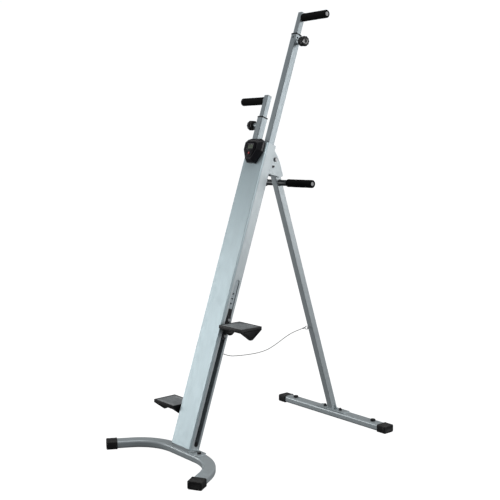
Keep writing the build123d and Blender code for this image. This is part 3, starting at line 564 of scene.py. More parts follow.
# ------------------------------------------------------------------ node wiring
class Wiring:
    """A node tree that is wired one node at a time."""

    def __init__(self, tree: bpy.types.NodeTree) -> None:
        """Keep the tree."""
        self.tree = tree

    def add(self, kind: str, inputs: dict[str | int, Any] | None = None, **settings: Any) -> bpy.types.Node:
        """Add a node.

        Args:
            kind: Node type.
            inputs: Value or socket for each named or numbered input.
            settings: Values of the node's own settings.

        Returns:
            The node.
        """
        node = self.tree.nodes.new(kind)
        for key, value in settings.items():
            setattr(node, key, value)
        for key, value in (inputs or {}).items():
            self.feed(node.inputs[key], value)
        return node

    def feed(self, socket: bpy.types.NodeSocket, value: Any) -> None:
        """Link or set an input.

        Args:
            socket: The input.
            value: Another node's output, or a plain value.
        """
        if isinstance(value, bpy.types.NodeSocket):
            self.tree.links.new(value, socket)
        else:
            socket.default_value = value

    def math(self, kind: str, first: Any, second: Any = 0.0, clamp: bool = False) -> bpy.types.NodeSocket:
        """Work out one number from two.

        Args:
            kind: Operation.
            first: First number.
            second: Second number.
            clamp: Whether to keep the result from 0 to 1.

        Returns:
            The result.
        """
        node = self.add("ShaderNodeMath", {0: first, 1: second}, operation=kind, use_clamp=clamp)
        return node.outputs[0]

    def ramp(
        self, value: Any, low: float, high: float, start: float = 0.0, end: float = 1.0
    ) -> bpy.types.NodeSocket:
        """Stretch a range of values smoothly over another.

        Args:
            value: The number.
            low: Where the range starts.
            high: Where it ends.
            start: Result at its start.
            end: Result at its end.

        Returns:
            The new number.
        """
        inputs = {"Value": value, "From Min": low, "From Max": high, "To Min": start, "To Max": end}
        node = self.add("ShaderNodeMapRange", inputs, interpolation_type="SMOOTHSTEP")
        return node.outputs["Result"]

    def noise(self, vector: Any, scale: Any, detail: float = 2.0, rough: float = 0.5) -> bpy.types.NodeSocket:
        """Add a noise pattern.

        Args:
            vector: Where it is read.
            scale: Repeats per metre.
            detail: Octaves.
            rough: Share of each finer octave.

        Returns:
            Its value.
        """
        inputs = {"Vector": vector, "Scale": scale, "Detail": detail, "Roughness": rough}
        return self.add("ShaderNodeTexNoise", inputs).outputs["Fac"]

    def blend(self, share: Any, first: Any, second: Any) -> bpy.types.NodeSocket:
        """Mix two colours.

        Args:
            share: How much of the second shows.
            first: First colour.
            second: Second colour.

        Returns:
            The mixed colour.
        """
        node = self.add("ShaderNodeMix", data_type="RGBA")
        self.feed(node.inputs[0], share)
        self.feed(node.inputs[6], first)
        self.feed(node.inputs[7], second)
        return node.outputs[2]

    def group(self, name: str, **inputs: Any) -> bpy.types.Node:
        """Place a shared group.

        Args:
            name: Name of the group.
            inputs: Its inputs, with spaces written as underscores.

        Returns:
            The group node.
        """
        node = self.add("ShaderNodeGroup", node_tree=bpy.data.node_groups[name])
        for key, value in inputs.items():
            self.feed(node.inputs[key.replace("_", " ")], value)
        return node


class Kind(Enum):
    """Socket types of the shared groups."""

    NUMBER = "NodeSocketFloat"
    VECTOR = "NodeSocketVector"
    COLOUR = "NodeSocketColor"


def new_group(name: str, inputs: dict[str, Kind], outputs: dict[str, Kind]) -> tuple[Wiring, Any, Any]:
    """Start a shared shader group.

    Args:
        name: Name of the group.
        inputs: Name and type of each input.
        outputs: Name and type of each output.

    Returns:
        The wiring, the input sockets and the output node.
    """
    tree = bpy.data.node_groups.new(name, "ShaderNodeTree")
    for label, kind in inputs.items():
        tree.interface.new_socket(label, in_out="INPUT", socket_type=kind.value)
    for label, kind in outputs.items():
        tree.interface.new_socket(label, in_out="OUTPUT", socket_type=kind.value)
    wires = Wiring(tree)
    return wires, wires.add("NodeGroupInput").outputs, wires.add("NodeGroupOutput")


def group_soft_edge() -> None:
    """Rounded normals along sharp edges, and a mask of those edges."""
    wires, given, out = new_group(
        "soft_edge", {"Radius": Kind.NUMBER}, {"Normal": Kind.VECTOR, "Edge": Kind.NUMBER}
    )
    bevel = wires.add("ShaderNodeBevel", {"Radius": given["Radius"]}, samples=6)
    surface = wires.add("ShaderNodeNewGeometry")
    turn = wires.add(
        "ShaderNodeVectorMath", {0: bevel.outputs[0], 1: surface.outputs["Normal"]}, operation="DOT_PRODUCT"
    )
    gap = wires.math("SUBTRACT", 1.0, turn.outputs["Value"])
    wires.feed(out.inputs["Normal"], bevel.outputs[0])
    wires.feed(out.inputs["Edge"], wires.ramp(gap, 0.02, 0.25))


def group_clouds() -> None:
    """Broad soft patches, stretched along one direction."""
    wires, given, out = new_group(
        "clouds",
        {"Vector": Kind.VECTOR, "Size": Kind.NUMBER, "Contrast": Kind.NUMBER},
        {"Value": Kind.NUMBER},
    )
    broad = wires.noise(given["Vector"], given["Size"], 3.0, 0.55)
    fine_scale = wires.math("MULTIPLY", given["Size"], 5.3)
    fine = wires.noise(given["Vector"], fine_scale, 2.0, 0.5)
    both = wires.math("ADD", wires.math("MULTIPLY", broad, 0.75), wires.math("MULTIPLY", fine, 0.25))
    centred = wires.math("SUBTRACT", both, 0.5)
    spread = wires.math("MULTIPLY", centred, given["Contrast"])
    wires.feed(out.inputs["Value"], wires.math("ADD", spread, 0.5, clamp=True))


def group_grain() -> None:
    """Fine moulded or sprayed grain as a height and a mask."""
    wires, given, out = new_group(
        "grain",
        {"Vector": Kind.VECTOR, "Size": Kind.NUMBER},
        {"Height": Kind.NUMBER, "Mask": Kind.NUMBER},
    )
    pebbles = wires.add(
        "ShaderNodeTexVoronoi", {"Vector": given["Vector"], "Scale": given["Size"]}, feature="SMOOTH_F1"
    )
    fine = wires.noise(given["Vector"], wires.math("MULTIPLY", given["Size"], 1.7), 2.0, 0.6)
    height = wires.math("ADD", wires.math("MULTIPLY", pebbles.outputs["Distance"], 0.6), fine)
    wires.feed(out.inputs["Height"], height)
    wires.feed(out.inputs["Mask"], wires.ramp(fine, 0.35, 0.7))


def group_dust() -> None:
    """Dust that lies on upward faces and thickens towards the floor."""
    wires, given, out = new_group(
        "dust",
        {"Vector": Kind.VECTOR, "Amount": Kind.NUMBER, "Reach": Kind.NUMBER},
        {"Mask": Kind.NUMBER},
    )
    surface = wires.add("ShaderNodeNewGeometry")
    facing = wires.add("ShaderNodeSeparateXYZ", {0: surface.outputs["Normal"]})
    place = wires.add("ShaderNodeSeparateXYZ", {0: given["Vector"]})
    up = wires.ramp(facing.outputs["Z"], 0.15, 0.95, 0.15, 1.0)
    low = wires.math("DIVIDE", place.outputs["Z"], given["Reach"])
    near = wires.ramp(low, 0.0, 1.0, 1.0, 0.12)
    specks = wires.ramp(wires.noise(given["Vector"], 420.0, 4.0, 0.7), 0.42, 0.68)
    drift = wires.ramp(wires.noise(given["Vector"], 16.0, 3.0, 0.6), 0.35, 0.7)
    lying = wires.math("MULTIPLY", wires.math("MULTIPLY", up, near), wires.math("MULTIPLY", specks, drift))
    wires.feed(out.inputs["Mask"], wires.math("MULTIPLY", lying, given["Amount"], clamp=True))


def group_scuffs() -> None:
    """Thin crossing scratches and rubbed patches."""
    wires, given, out = new_group(
        "scuffs",
        {"Vector": Kind.VECTOR, "Size": Kind.NUMBER, "Amount": Kind.NUMBER},
        {"Mask": Kind.NUMBER},
    )
    total: Any = 0.0
    for turn, stretch in ((0.35, 14.0), (1.25, 10.0), (2.4, 18.0)):
        mapping = wires.add(
            "ShaderNodeMapping",
            {
                "Vector": given["Vector"],
                "Rotation": (turn, turn * 0.7, turn * 1.9),
                "Scale": (1.0, stretch, stretch),
            },
        )
        lines = wires.noise(mapping.outputs[0], given["Size"], 1.0, 0.4)
        total = wires.math("ADD", total, wires.ramp(lines, 0.68, 0.76))
    patches = wires.ramp(wires.noise(given["Vector"], 11.0, 2.0, 0.5), 0.45, 0.7)
    rubbed = wires.math("MULTIPLY", total, patches)
    wires.feed(out.inputs["Mask"], wires.math("MULTIPLY", rubbed, given["Amount"], clamp=True))


def group_brushing() -> None:
    """Long fine lines left by brushing or drawing a metal."""
    wires, given, out = new_group(
        "brushing", {"Vector": Kind.VECTOR, "Size": Kind.NUMBER}, {"Height": Kind.NUMBER}
    )
    mapping = wires.add(
        "ShaderNodeMapping", {"Vector": given["Vector"], "Scale": (1.0, 1.0, 0.04)}
    )
    wires.feed(out.inputs["Height"], wires.noise(mapping.outputs[0], given["Size"], 3.0, 0.65))


# ------------------------------------------------------------------ finishes
@dataclass(frozen=True)
class Finish:
    """What every finish shares: a name, a colour and how it shines.

    Attributes:
        name: Name of the material.
        colour: Main colour, linear.
        rough: Middle roughness.
        metallic: Share of bare metal.
        edge: Radius that sharp edges are seen rounded to, in metres.
        relief: Height of the surface's fine relief, in metres.
        coat: Weight of the clear coat.
        specular: Strength of the plain reflection.
    """

    name: str
    colour: tuple[float, float, float]
    rough: float
    metallic: float = 0.0
    edge: float = 0.0008
    relief: float = 0.00005
    coat: float = 0.0
    specular: float = 0.5

    @property
    def rgba(self) -> tuple[float, float, float, float]:
        """Main colour with its alpha."""
        return (*self.colour, 1.0)

    def tinted(self, factor: float, shift: Point = (0.0, 0.0, 0.0)) -> tuple[float, float, float, float]:
        """Make a related colour.

        Args:
            factor: How much lighter or darker it is.
            shift: What is added to each part.

        Returns:
            The colour with its alpha.
        """
        return (*(max(0.0, min(1.0, c * factor + s)) for c, s in zip(self.colour, shift)), 1.0)

    def start(self) -> tuple[Wiring, bpy.types.Node, Any, bpy.types.Node]:
        """Start the material with its shader, place and soft edges.

        Returns:
            The wiring, the shader, the object coordinates and the edge group.
        """
        material = bpy.data.materials.new(f"{self.name}_look")
        material.use_nodes = True
        material.node_tree.nodes.clear()
        wires = Wiring(material.node_tree)
        shader = wires.add("ShaderNodeBsdfPrincipled")
        shader.inputs["Metallic"].default_value = self.metallic
        shader.inputs["Coat Weight"].default_value = self.coat
        shader.inputs["Coat Roughness"].default_value = 0.12
        shader.inputs["Specular IOR Level"].default_value = self.specular
        wires.add("ShaderNodeOutputMaterial", {"Surface": shader.outputs[0]})
        place = wires.add("ShaderNodeTexCoord").outputs["Object"]
        soft = wires.group("soft_edge", Radius=self.edge)
        return wires, shader, place, soft

    def finish(
        self,
        wires: Wiring,
        shader: bpy.types.Node,
        soft: bpy.types.Node,
        colour: Any,
        rough: Any,
        height: Any,
    ) -> None:
        """Feed the shader.

        Args:
            wires: The material's wiring.
            shader: Its shader.
            soft: Its edge group.
            colour: Surface colour.
            rough: Surface roughness.
            height: Height of the relief, about 0 to 1.
        """
        bump = wires.add(
            "ShaderNodeBump",
            {"Strength": 1.0, "Distance": self.relief, "Height": height, "Normal": soft.outputs["Normal"]},
        )
        wires.feed(shader.inputs["Base Color"], colour)
        wires.feed(shader.inputs["Roughness"], rough)
        wires.feed(shader.inputs["Normal"], bump.outputs[0])


@dataclass(frozen=True)
class SilverPaint(Finish):
    """Sprayed silver paint with faint drifts along the tube.

    Attributes:
        lean: Lean of the part the drifts run along, in radians about X.
        stretch: How much longer than wide the drifts are.
        cloud: Contrast of the drifts.
        dust: Amount of dust near the floor.
        fade: How much paler it is near the floor than higher up, a painted light falloff.
    """

    lean: float = 0.0
    stretch: float = 3.0
    cloud: float = 1.2
    dust: float = 0.25
    fade: float = 0.0

    def make(self) -> None:
        """Build the material."""
        wires, shader, place, soft = self.start()
        run = wires.add(
            "ShaderNodeMapping",
            {"Vector": place, "Rotation": (self.lean, 0.0, 0.0), "Scale": (1.0, 1.0, self.stretch)},
            vector_type="TEXTURE",
        ).outputs[0]
        drift = wires.group("clouds", Vector=run, Size=26.0, Contrast=self.cloud).outputs[0]
        streak = wires.group("clouds", Vector=run, Size=150.0, Contrast=1.4).outputs[0]
        fleck = wires.group("grain", Vector=place, Size=2600.0)
        scuff = wires.group("scuffs", Vector=place, Size=60.0, Amount=0.16).outputs[0]
        dust = wires.group("dust", Vector=place, Amount=self.dust, Reach=0.25).outputs[0]
        # Painted light: the colour is made paler near the floor and darker higher up, standing in for the lamps'
        # falloff.
        level = wires.ramp(wires.add("ShaderNodeSeparateXYZ", {0: place}).outputs["Z"], 0.1, 1.2)
        low, high = 1.0 + self.fade, 1.0 - self.fade * 0.4
        dim = wires.blend(level, self.tinted(0.92 * low), self.tinted(0.92 * high))
        lit = wires.blend(level, self.tinted(1.05 * low), self.tinted(1.05 * high))
        base = wires.blend(drift, dim, lit)
        flecked = wires.blend(wires.math("MULTIPLY", fleck.outputs["Mask"], 0.12), base, self.tinted(1.3))
        # Painted highlight: every sharp edge is painted paler, as if catching the light.
        edged = wires.blend(wires.math("MULTIPLY", soft.outputs["Edge"], 0.35), flecked, self.tinted(1.18))
        scuffed = wires.blend(scuff, edged, self.tinted(0.72))
        dusty = wires.blend(dust, scuffed, (0.52, 0.5, 0.46, 1.0))
        rough = wires.ramp(streak, 0.2, 0.8, self.rough - 0.05, self.rough + 0.07)
        rough = wires.math("ADD", rough, wires.math("MULTIPLY", dust, 0.3))
        height = wires.math("ADD", fleck.outputs["Height"], wires.math("MULTIPLY", streak, 1.5))
        self.finish(wires, shader, soft, dusty, rough, height)


@dataclass(frozen=True)
class Moulding(Finish):
    """Moulded plastic with a pebbled skin and pale edges, partly rubbed wear and partly a painted highlight.

    Attributes:
        grain: Pebbles per metre.
        wear: How much the edges are paled, as rubbed wear and as a painted highlight.
        dust: Amount of dust.
    """

    grain: float = 1500.0
    wear: float = 0.5
    dust: float = 0.5

    def make(self) -> None:
        """Build the material."""
        wires, shader, place, soft = self.start()
        skin = wires.group("grain", Vector=place, Size=self.grain)
        tone = wires.group("clouds", Vector=place, Size=35.0, Contrast=1.5).outputs[0]
        scuff = wires.group("scuffs", Vector=place, Size=90.0, Amount=0.3).outputs[0]
        dust = wires.group("dust", Vector=place, Amount=self.dust, Reach=0.6).outputs[0]
        base = wires.blend(tone, self.tinted(0.75), self.tinted(1.35, (0.001, 0.001, 0.0015)))
        # Pale edges: partly rubbed wear, partly a painted highlight along every sharp edge.
        rubbed = wires.blend(
            wires.math("MULTIPLY", soft.outputs["Edge"], self.wear),
            base,
            self.tinted(2.2, (0.025, 0.025, 0.028)),
        )
        scuffed = wires.blend(scuff, rubbed, self.tinted(2.0, (0.008, 0.008, 0.008)))
        dusty = wires.blend(dust, scuffed, (0.34, 0.33, 0.31, 1.0))
        rough = wires.ramp(skin.outputs["Mask"], 0.0, 1.0, self.rough - 0.08, self.rough + 0.08)
        rough = wires.math("ADD", rough, wires.math("MULTIPLY", dust, 0.25))
        self.finish(wires, shader, soft, dusty, rough, skin.outputs["Height"])


@dataclass(frozen=True)
class DrawnSteel(Finish):
    """Plated or drawn steel with fine lines and darker cloudy patches.

    Attributes:
        stain: How dark its cloudy patches are.
    """

    stain: float = 0.4

    def make(self) -> None:
        """Build the material."""
        wires, shader, place, soft = self.start()
        lines = wires.group("brushing", Vector=place, Size=2400.0).outputs[0]
        tone = wires.group("clouds", Vector=place, Size=120.0, Contrast=1.8).outputs[0]
        base = wires.blend(wires.math("MULTIPLY", tone, self.stain), self.rgba, self.tinted(0.6))
        # Bright edges: partly edge wear, partly a painted highlight along every sharp edge.
        worn_and_highlit = wires.math("MULTIPLY", soft.outputs["Edge"], 0.6)
        bright = wires.blend(worn_and_highlit, base, self.tinted(1.3, (0.04, 0.04, 0.04)))
        rough = wires.ramp(lines, 0.3, 0.7, self.rough - 0.08, self.rough + 0.1)
        self.finish(wires, shader, soft, bright, rough, lines)


@dataclass(frozen=True)
class Foam(Finish):
    """Closed-cell foam with open pores and a dull skin."""

    def make(self) -> None:
        """Build the material."""
        wires, shader, place, soft = self.start()
        cells = wires.add("ShaderNodeTexVoronoi", {"Vector": place, "Scale": 900.0}).outputs["Distance"]
        pits = wires.ramp(cells, 0.05, 0.4)
        fine = wires.noise(place, 2600.0, 3.0, 0.7)
        tone = wires.group("clouds", Vector=place, Size=60.0, Contrast=1.6).outputs[0]
        base = wires.blend(tone, self.tinted(0.7), self.tinted(1.6))
        # Painted shade: the pores are painted darker where the surface dips into them.
        pitted = wires.blend(pits, self.tinted(0.35), base)
        # Pale edges: partly rubbed wear, partly a painted highlight along the sharp edges.
        rubbed = wires.blend(wires.math("MULTIPLY", soft.outputs["Edge"], 0.3), pitted, self.tinted(2.6))
        height = wires.math("ADD", pits, wires.math("MULTIPLY", fine, 0.5))
        rough = wires.ramp(tone, 0.0, 1.0, self.rough - 0.06, self.rough + 0.04)
        self.finish(wires, shader, soft, rubbed, rough, height)


@dataclass(frozen=True)
class Gloss(Finish):
    """Smooth glossy plastic with faint haze and finger marks.

    Attributes:
        haze: Strength of the marks.
    """

    haze: float = 0.15

    def make(self) -> None:
        """Build the material."""
        wires, shader, place, soft = self.start()
        marks = wires.group("clouds", Vector=place, Size=180.0, Contrast=2.0).outputs[0]
        skin = wires.group("grain", Vector=place, Size=3500.0)
        base = wires.blend(marks, self.tinted(0.85), self.tinted(1.12))
        # Pale edges: partly edge wear, partly a painted highlight along every sharp edge.
        worn_and_highlit = wires.math("MULTIPLY", soft.outputs["Edge"], 0.4)
        edged = wires.blend(worn_and_highlit, base, self.tinted(1.4, (0.03, 0.03, 0.03)))
        rough = wires.ramp(marks, 0.2, 0.8, self.rough, self.rough + self.haze)
        self.finish(wires, shader, soft, edged, rough, skin.outputs["Height"])


@dataclass(frozen=True)
class CableCoat(Finish):
    """Clear-grey vinyl over laid wire, with the lay showing through.

    Attributes:
        turns: Twists along the whole cable.
    """

    turns: float = 60.0

    def make(self) -> None:
        """Build the material."""
        wires, shader, place, soft = self.start()
        along = wires.add("ShaderNodeUVMap", uv_map="UVMap").outputs[0]
        split = wires.add("ShaderNodeSeparateXYZ", {0: along})
        twist = wires.math("MULTIPLY", split.outputs["X"], self.turns)
        phase = wires.math("ADD", twist, wires.math("MULTIPLY", split.outputs["Y"], 6.0))
        wave = wires.math("SINE", wires.math("MULTIPLY", phase, 2 * math.pi))
        lay = wires.math("ADD", wires.math("MULTIPLY", wave, 0.5), 0.5)
        tone = wires.group("clouds", Vector=place, Size=90.0, Contrast=1.3).outputs[0]
        base = wires.blend(tone, self.tinted(0.88), self.tinted(1.06))
        laid = wires.blend(wires.math("MULTIPLY", lay, 0.35), base, self.tinted(0.66))
        rough = wires.ramp(tone, 0.0, 1.0, self.rough - 0.06, self.rough + 0.1)
        self.finish(wires, shader, soft, laid, rough, lay)


FINISHES = [
    SilverPaint(
        "silver_paint", (0.60, 0.665, 0.69), 0.38,
        metallic=0.35, edge=0.0012, relief=0.00003, coat=0.1,
    ),
    SilverPaint(
        "cover_paint", (0.53, 0.65, 0.69), 0.38, metallic=0.3, edge=0.0012, relief=0.00003, coat=0.1,
        lean=-math.atan2(COLUMN.up.y, COLUMN.up.z), stretch=5.0, cloud=1.7, fade=0.02,
    ),
    SilverPaint(
        "slider_paint", (0.42, 0.48, 0.51), 0.34, metallic=0.45, edge=0.001, relief=0.00003, coat=0.1,
        lean=-math.atan2(COLUMN.up.y, COLUMN.up.z), stretch=6.0,
    ),
    SilverPaint("dark_tube", (0.036, 0.042, 0.046), 0.34, metallic=0.3, edge=0.001, coat=0.2, dust=0.05),
    SilverPaint("weld_paint", (0.50, 0.54, 0.56), 0.42, metallic=0.35, edge=0.0003, relief=0.0001),
    DrawnSteel("steel", (0.40, 0.41, 0.42), 0.34, metallic=0.7, edge=0.0005, relief=0.00004),
    DrawnSteel("dark_steel", (0.045, 0.045, 0.05), 0.38, metallic=0.6, edge=0.0007, relief=0.00004),
    Moulding(
        "black_plastic", (0.009, 0.009, 0.010), 0.42,
        edge=0.0009, relief=0.00006, wear=0.35, dust=0.2, specular=0.35,
    ),
    # Painted light: the tread's pale grey stands for light and sheen on the tops of black pedals.
    Moulding(
        "tread_plastic", (0.30, 0.32, 0.33), 0.36,
        edge=0.0006, relief=0.00009, wear=0.8, dust=0.8, specular=0.6,
    ),
    Moulding(
        "rubber_foot", (0.013, 0.013, 0.014), 0.55,
        edge=0.0012, relief=0.00008, wear=0.3, dust=0.5, specular=0.35,
    ),
    Moulding(
        "console_shell", (0.012, 0.012, 0.016), 0.34,
        edge=0.0007, relief=0.00003, grain=2600.0, wear=0.35, dust=0.1, specular=0.4,
    ),
    Moulding(
        "console_grey", (0.006, 0.0055, 0.008), 0.42,
        edge=0.0005, relief=0.00003, grain=2600.0, wear=0.1, dust=0.0, specular=0.12,
    ),
    Moulding("belt_rubber", (0.03, 0.03, 0.03), 0.6, edge=0.0003, grain=900.0),
    Moulding("pale_plug", (0.50, 0.51, 0.52), 0.4, edge=0.0008, wear=0.2, dust=0.2),
    Moulding("pale_print", (0.92, 0.92, 0.92), 0.42, edge=0.0002, wear=0.1, dust=0.1),
    Foam("grip_foam", (0.0075, 0.0075, 0.0078), 0.85, edge=0.001, relief=0.00018, specular=0.1),
    Gloss("lcd", (0.16, 0.19, 0.145), 0.2, edge=0.0003, relief=0.00001, coat=0.35),
    Gloss("lcd_ink", (0.012, 0.014, 0.012), 0.3, edge=0.0001, relief=0.00001),
    Gloss("red_plastic", (0.50, 0.022, 0.018), 0.22, edge=0.0006, relief=0.00002, coat=0.4),
    CableCoat("cable_coat", (0.34, 0.34, 0.33), 0.32, edge=0.0002, relief=0.00012, coat=0.3),
]
NODE_FINISHES = {
    "front_caps": "rubber_foot",
    "rear_caps": "rubber_foot",
    "console_housing": "console_shell",
    "right_leveler": "rubber_foot",
    "left_leveler": "rubber_foot",
}


def dress_frame() -> None:
    """Give every CAD node the finish of its material slot."""
    for row in frame["record"]["subparts"]:
        node = row["node"]
        material = look(NODE_FINISHES.get(node, row["material_slot"]))
        mesh_object = frame["nodes"][node]
        if not mesh_object.material_slots:
            mesh_object.data.materials.append(material)
        for slot in mesh_object.material_slots:
            slot.material = material


# ------------------------------------------------------------------ studio
@dataclass
class Studio:
    """Camera, pale floor and soft light.

    Attributes:
        eye: Where the camera stands.
        aim: Its three turns, in degrees.
        lens: Its focal length, in millimetres.
        floor_size: Side of the floor.
        sky: Brightness of the room round the machine.
        floor_glow: Glow that keeps the floor paper pale.
        sensor_width: Width of the camera's sensor, in millimetres.
        floor_drop: Gap between the floor and the feet.
        backdrop: Brightness of the room where the camera sees it.
        aim_height: Height of the point that the lights face.
        lights: Name, place, size and power of each light.
    """

    eye: tuple[float, float, float] = (2.6598, -2.2943, 1.1911)
    aim: tuple[float, float, float] = (83.495, 0.0, 49.199)
    lens: float = 62.68
    floor_size: float = 60.0
    sky: float = 0.22
    floor_glow: float = 1.0
    sensor_width: float = 36.0
    floor_drop: float = 0.0005
    backdrop: float = 1.05
    aim_height: float = 0.9
    lights: tuple[tuple[str, Point, float, float], ...] = (
        ("key_light", (-3.6, -3.0, 1.2), 2.6, 62.0),
        ("side_light", (4.0, 2.4, 1.6), 2.8, 70.0),
        ("top_light", (0.2, -0.8, 5.0), 3.0, 48.0),
    )

    def camera(self) -> None:
        """Set up the camera."""
        deselect()
        turns = tuple(math.radians(a) for a in self.aim)
        bpy.ops.object.camera_add(location=self.eye, rotation=turns)
        camera = bpy.context.object
        camera.name = "studio_camera"
        camera.data.lens = self.lens
        camera.data.sensor_width = self.sensor_width
        bpy.context.scene.camera = camera

    def floor(self) -> None:
        """Lay the floor with its finish."""
        deselect()
        bpy.ops.mesh.primitive_plane_add(size=self.floor_size, location=(0.0, 0.0, -self.floor_drop))
        floor = bpy.context.object
        floor.name = "studio_floor"
        material = bpy.data.materials.new("floor_paper")
        material.use_nodes = True
        wires = Wiring(material.node_tree)
        shader = material.node_tree.nodes["Principled BSDF"]
        place = wires.add("ShaderNodeTexCoord").outputs["Object"]
        paper = wires.noise(place, 3.0, 2.0, 0.5)
        wires.feed(
            shader.inputs["Base Color"],
            wires.blend(paper, (0.20, 0.205, 0.21, 1.0), (0.23, 0.23, 0.235, 1.0)),
        )
        shader.inputs["Roughness"].default_value = 0.9
        shader.inputs["Specular IOR Level"].default_value = 0.1
        shader.inputs["Emission Color"].default_value = (1.0, 1.0, 1.0, 1.0)
        seen = wires.add("ShaderNodeLightPath").outputs["Is Camera Ray"]
        wires.feed(shader.inputs["Emission Strength"], wires.math("MULTIPLY", seen, self.floor_glow))
        floor.data.materials.append(material)

    def light(self, name: str, place: Point, target: Point, size: float, power: float) -> None:
        """Hang one soft light.

        Args:
            name: Name of the light.
            place: Where it hangs.
            target: What it points at.
            size: Side of its square.
            power: Its power in watts.
        """
        deselect()
        turn = (Vector(target) - Vector(place)).to_track_quat("-Z", "Y").to_euler()
        bpy.ops.object.light_add(type="AREA", location=tuple(place), rotation=turn)
        lamp = bpy.context.object
        lamp.name = name
        lamp.data.shape = "SQUARE"
        lamp.data.size = size
        lamp.data.energy = power

    def build(self) -> None:
        """Set the whole studio up."""
        self.camera()
        self.floor()
        scene = bpy.context.scene
        world = bpy.data.worlds.new("studio_world")
        world.use_nodes = True
        wires = Wiring(world.node_tree)
        sky = world.node_tree.nodes["Background"]
        sky.inputs["Color"].default_value = (0.97, 0.985, 1.0, 1.0)
        seen = wires.add("ShaderNodeLightPath").outputs["Is Camera Ray"]
        wires.feed(sky.inputs["Strength"], wires.ramp(seen, 0.0, 1.0, self.sky, self.backdrop))
        scene.world = world
        scene.view_settings.view_transform = "Standard"
        middle = (0.0, 0.0, self.aim_height)
        for name, place, size, power in self.lights:
            self.light(name, place, middle, size, power)


# ------------------------------------------------------------------ safety cable
@dataclass
class SafetyCable:
    """Vinyl-coated safety cable that hangs between the column and the leg.

    Attributes:
        route: Points it is laid along, in metres.
        diameter: Its diameter.
        length: Its real length; not used.
    """

    route: tuple[tuple[float, float, float], ...] = (
        (0.0, -0.161, 0.392),
        (0.0, -0.115, 0.3685),
        (0.0, -0.061, 0.362),
        (0.0, -0.006, 0.3585),
        (0.0, 0.047, 0.3575),
        (0.0, 0.098, 0.3625),
        (0.0, 0.150, 0.380),
        (0.0, 0.202, 0.4035),
        (0.0, 0.252, 0.4195),
        (0.0, 0.304, 0.426),
    )
    diameter: float = 0.0032
    length: float = 0.4813

    def build(self) -> bpy.types.Object:
        """Lay the cable, read its line and give it its round section.

        Returns:
            The cable.
        """
        curve = bpy.data.curves.new("safety_cable_line", "CURVE")
        curve.dimensions = "3D"
        curve.resolution_u = 10
        spline = curve.splines.new("NURBS")
        spline.points.add(len(self.route) - 1)
        for point, place in zip(spline.points, self.route):
            point.co = (*place, 1.0)
        spline.order_u = 3
        spline.use_endpoint_u = True
        cable = bpy.data.objects.new("safety_cable_coat", curve)
        bpy.context.scene.collection.objects.link(cable)
        bpy.context.view_layer.update()
        line = bpy.data.meshes.new_from_object(cable.evaluated_get(bpy.context.evaluated_depsgraph_get()))
        curve.bevel_depth = self.diameter / 2
        curve.bevel_resolution = 4
        curve.use_fill_caps = True
        pick(cable)
        bpy.ops.object.convert(target="MESH")
        cable = bpy.context.object
        cable.name = cable.data.name = "safety_cable_coat"
        smoothed(cable, 50.0)
        cable.data.materials.clear()
        cable.data.materials.append(look("cable_coat"))
        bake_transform(cable)
        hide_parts("safety_cable")
        return cable


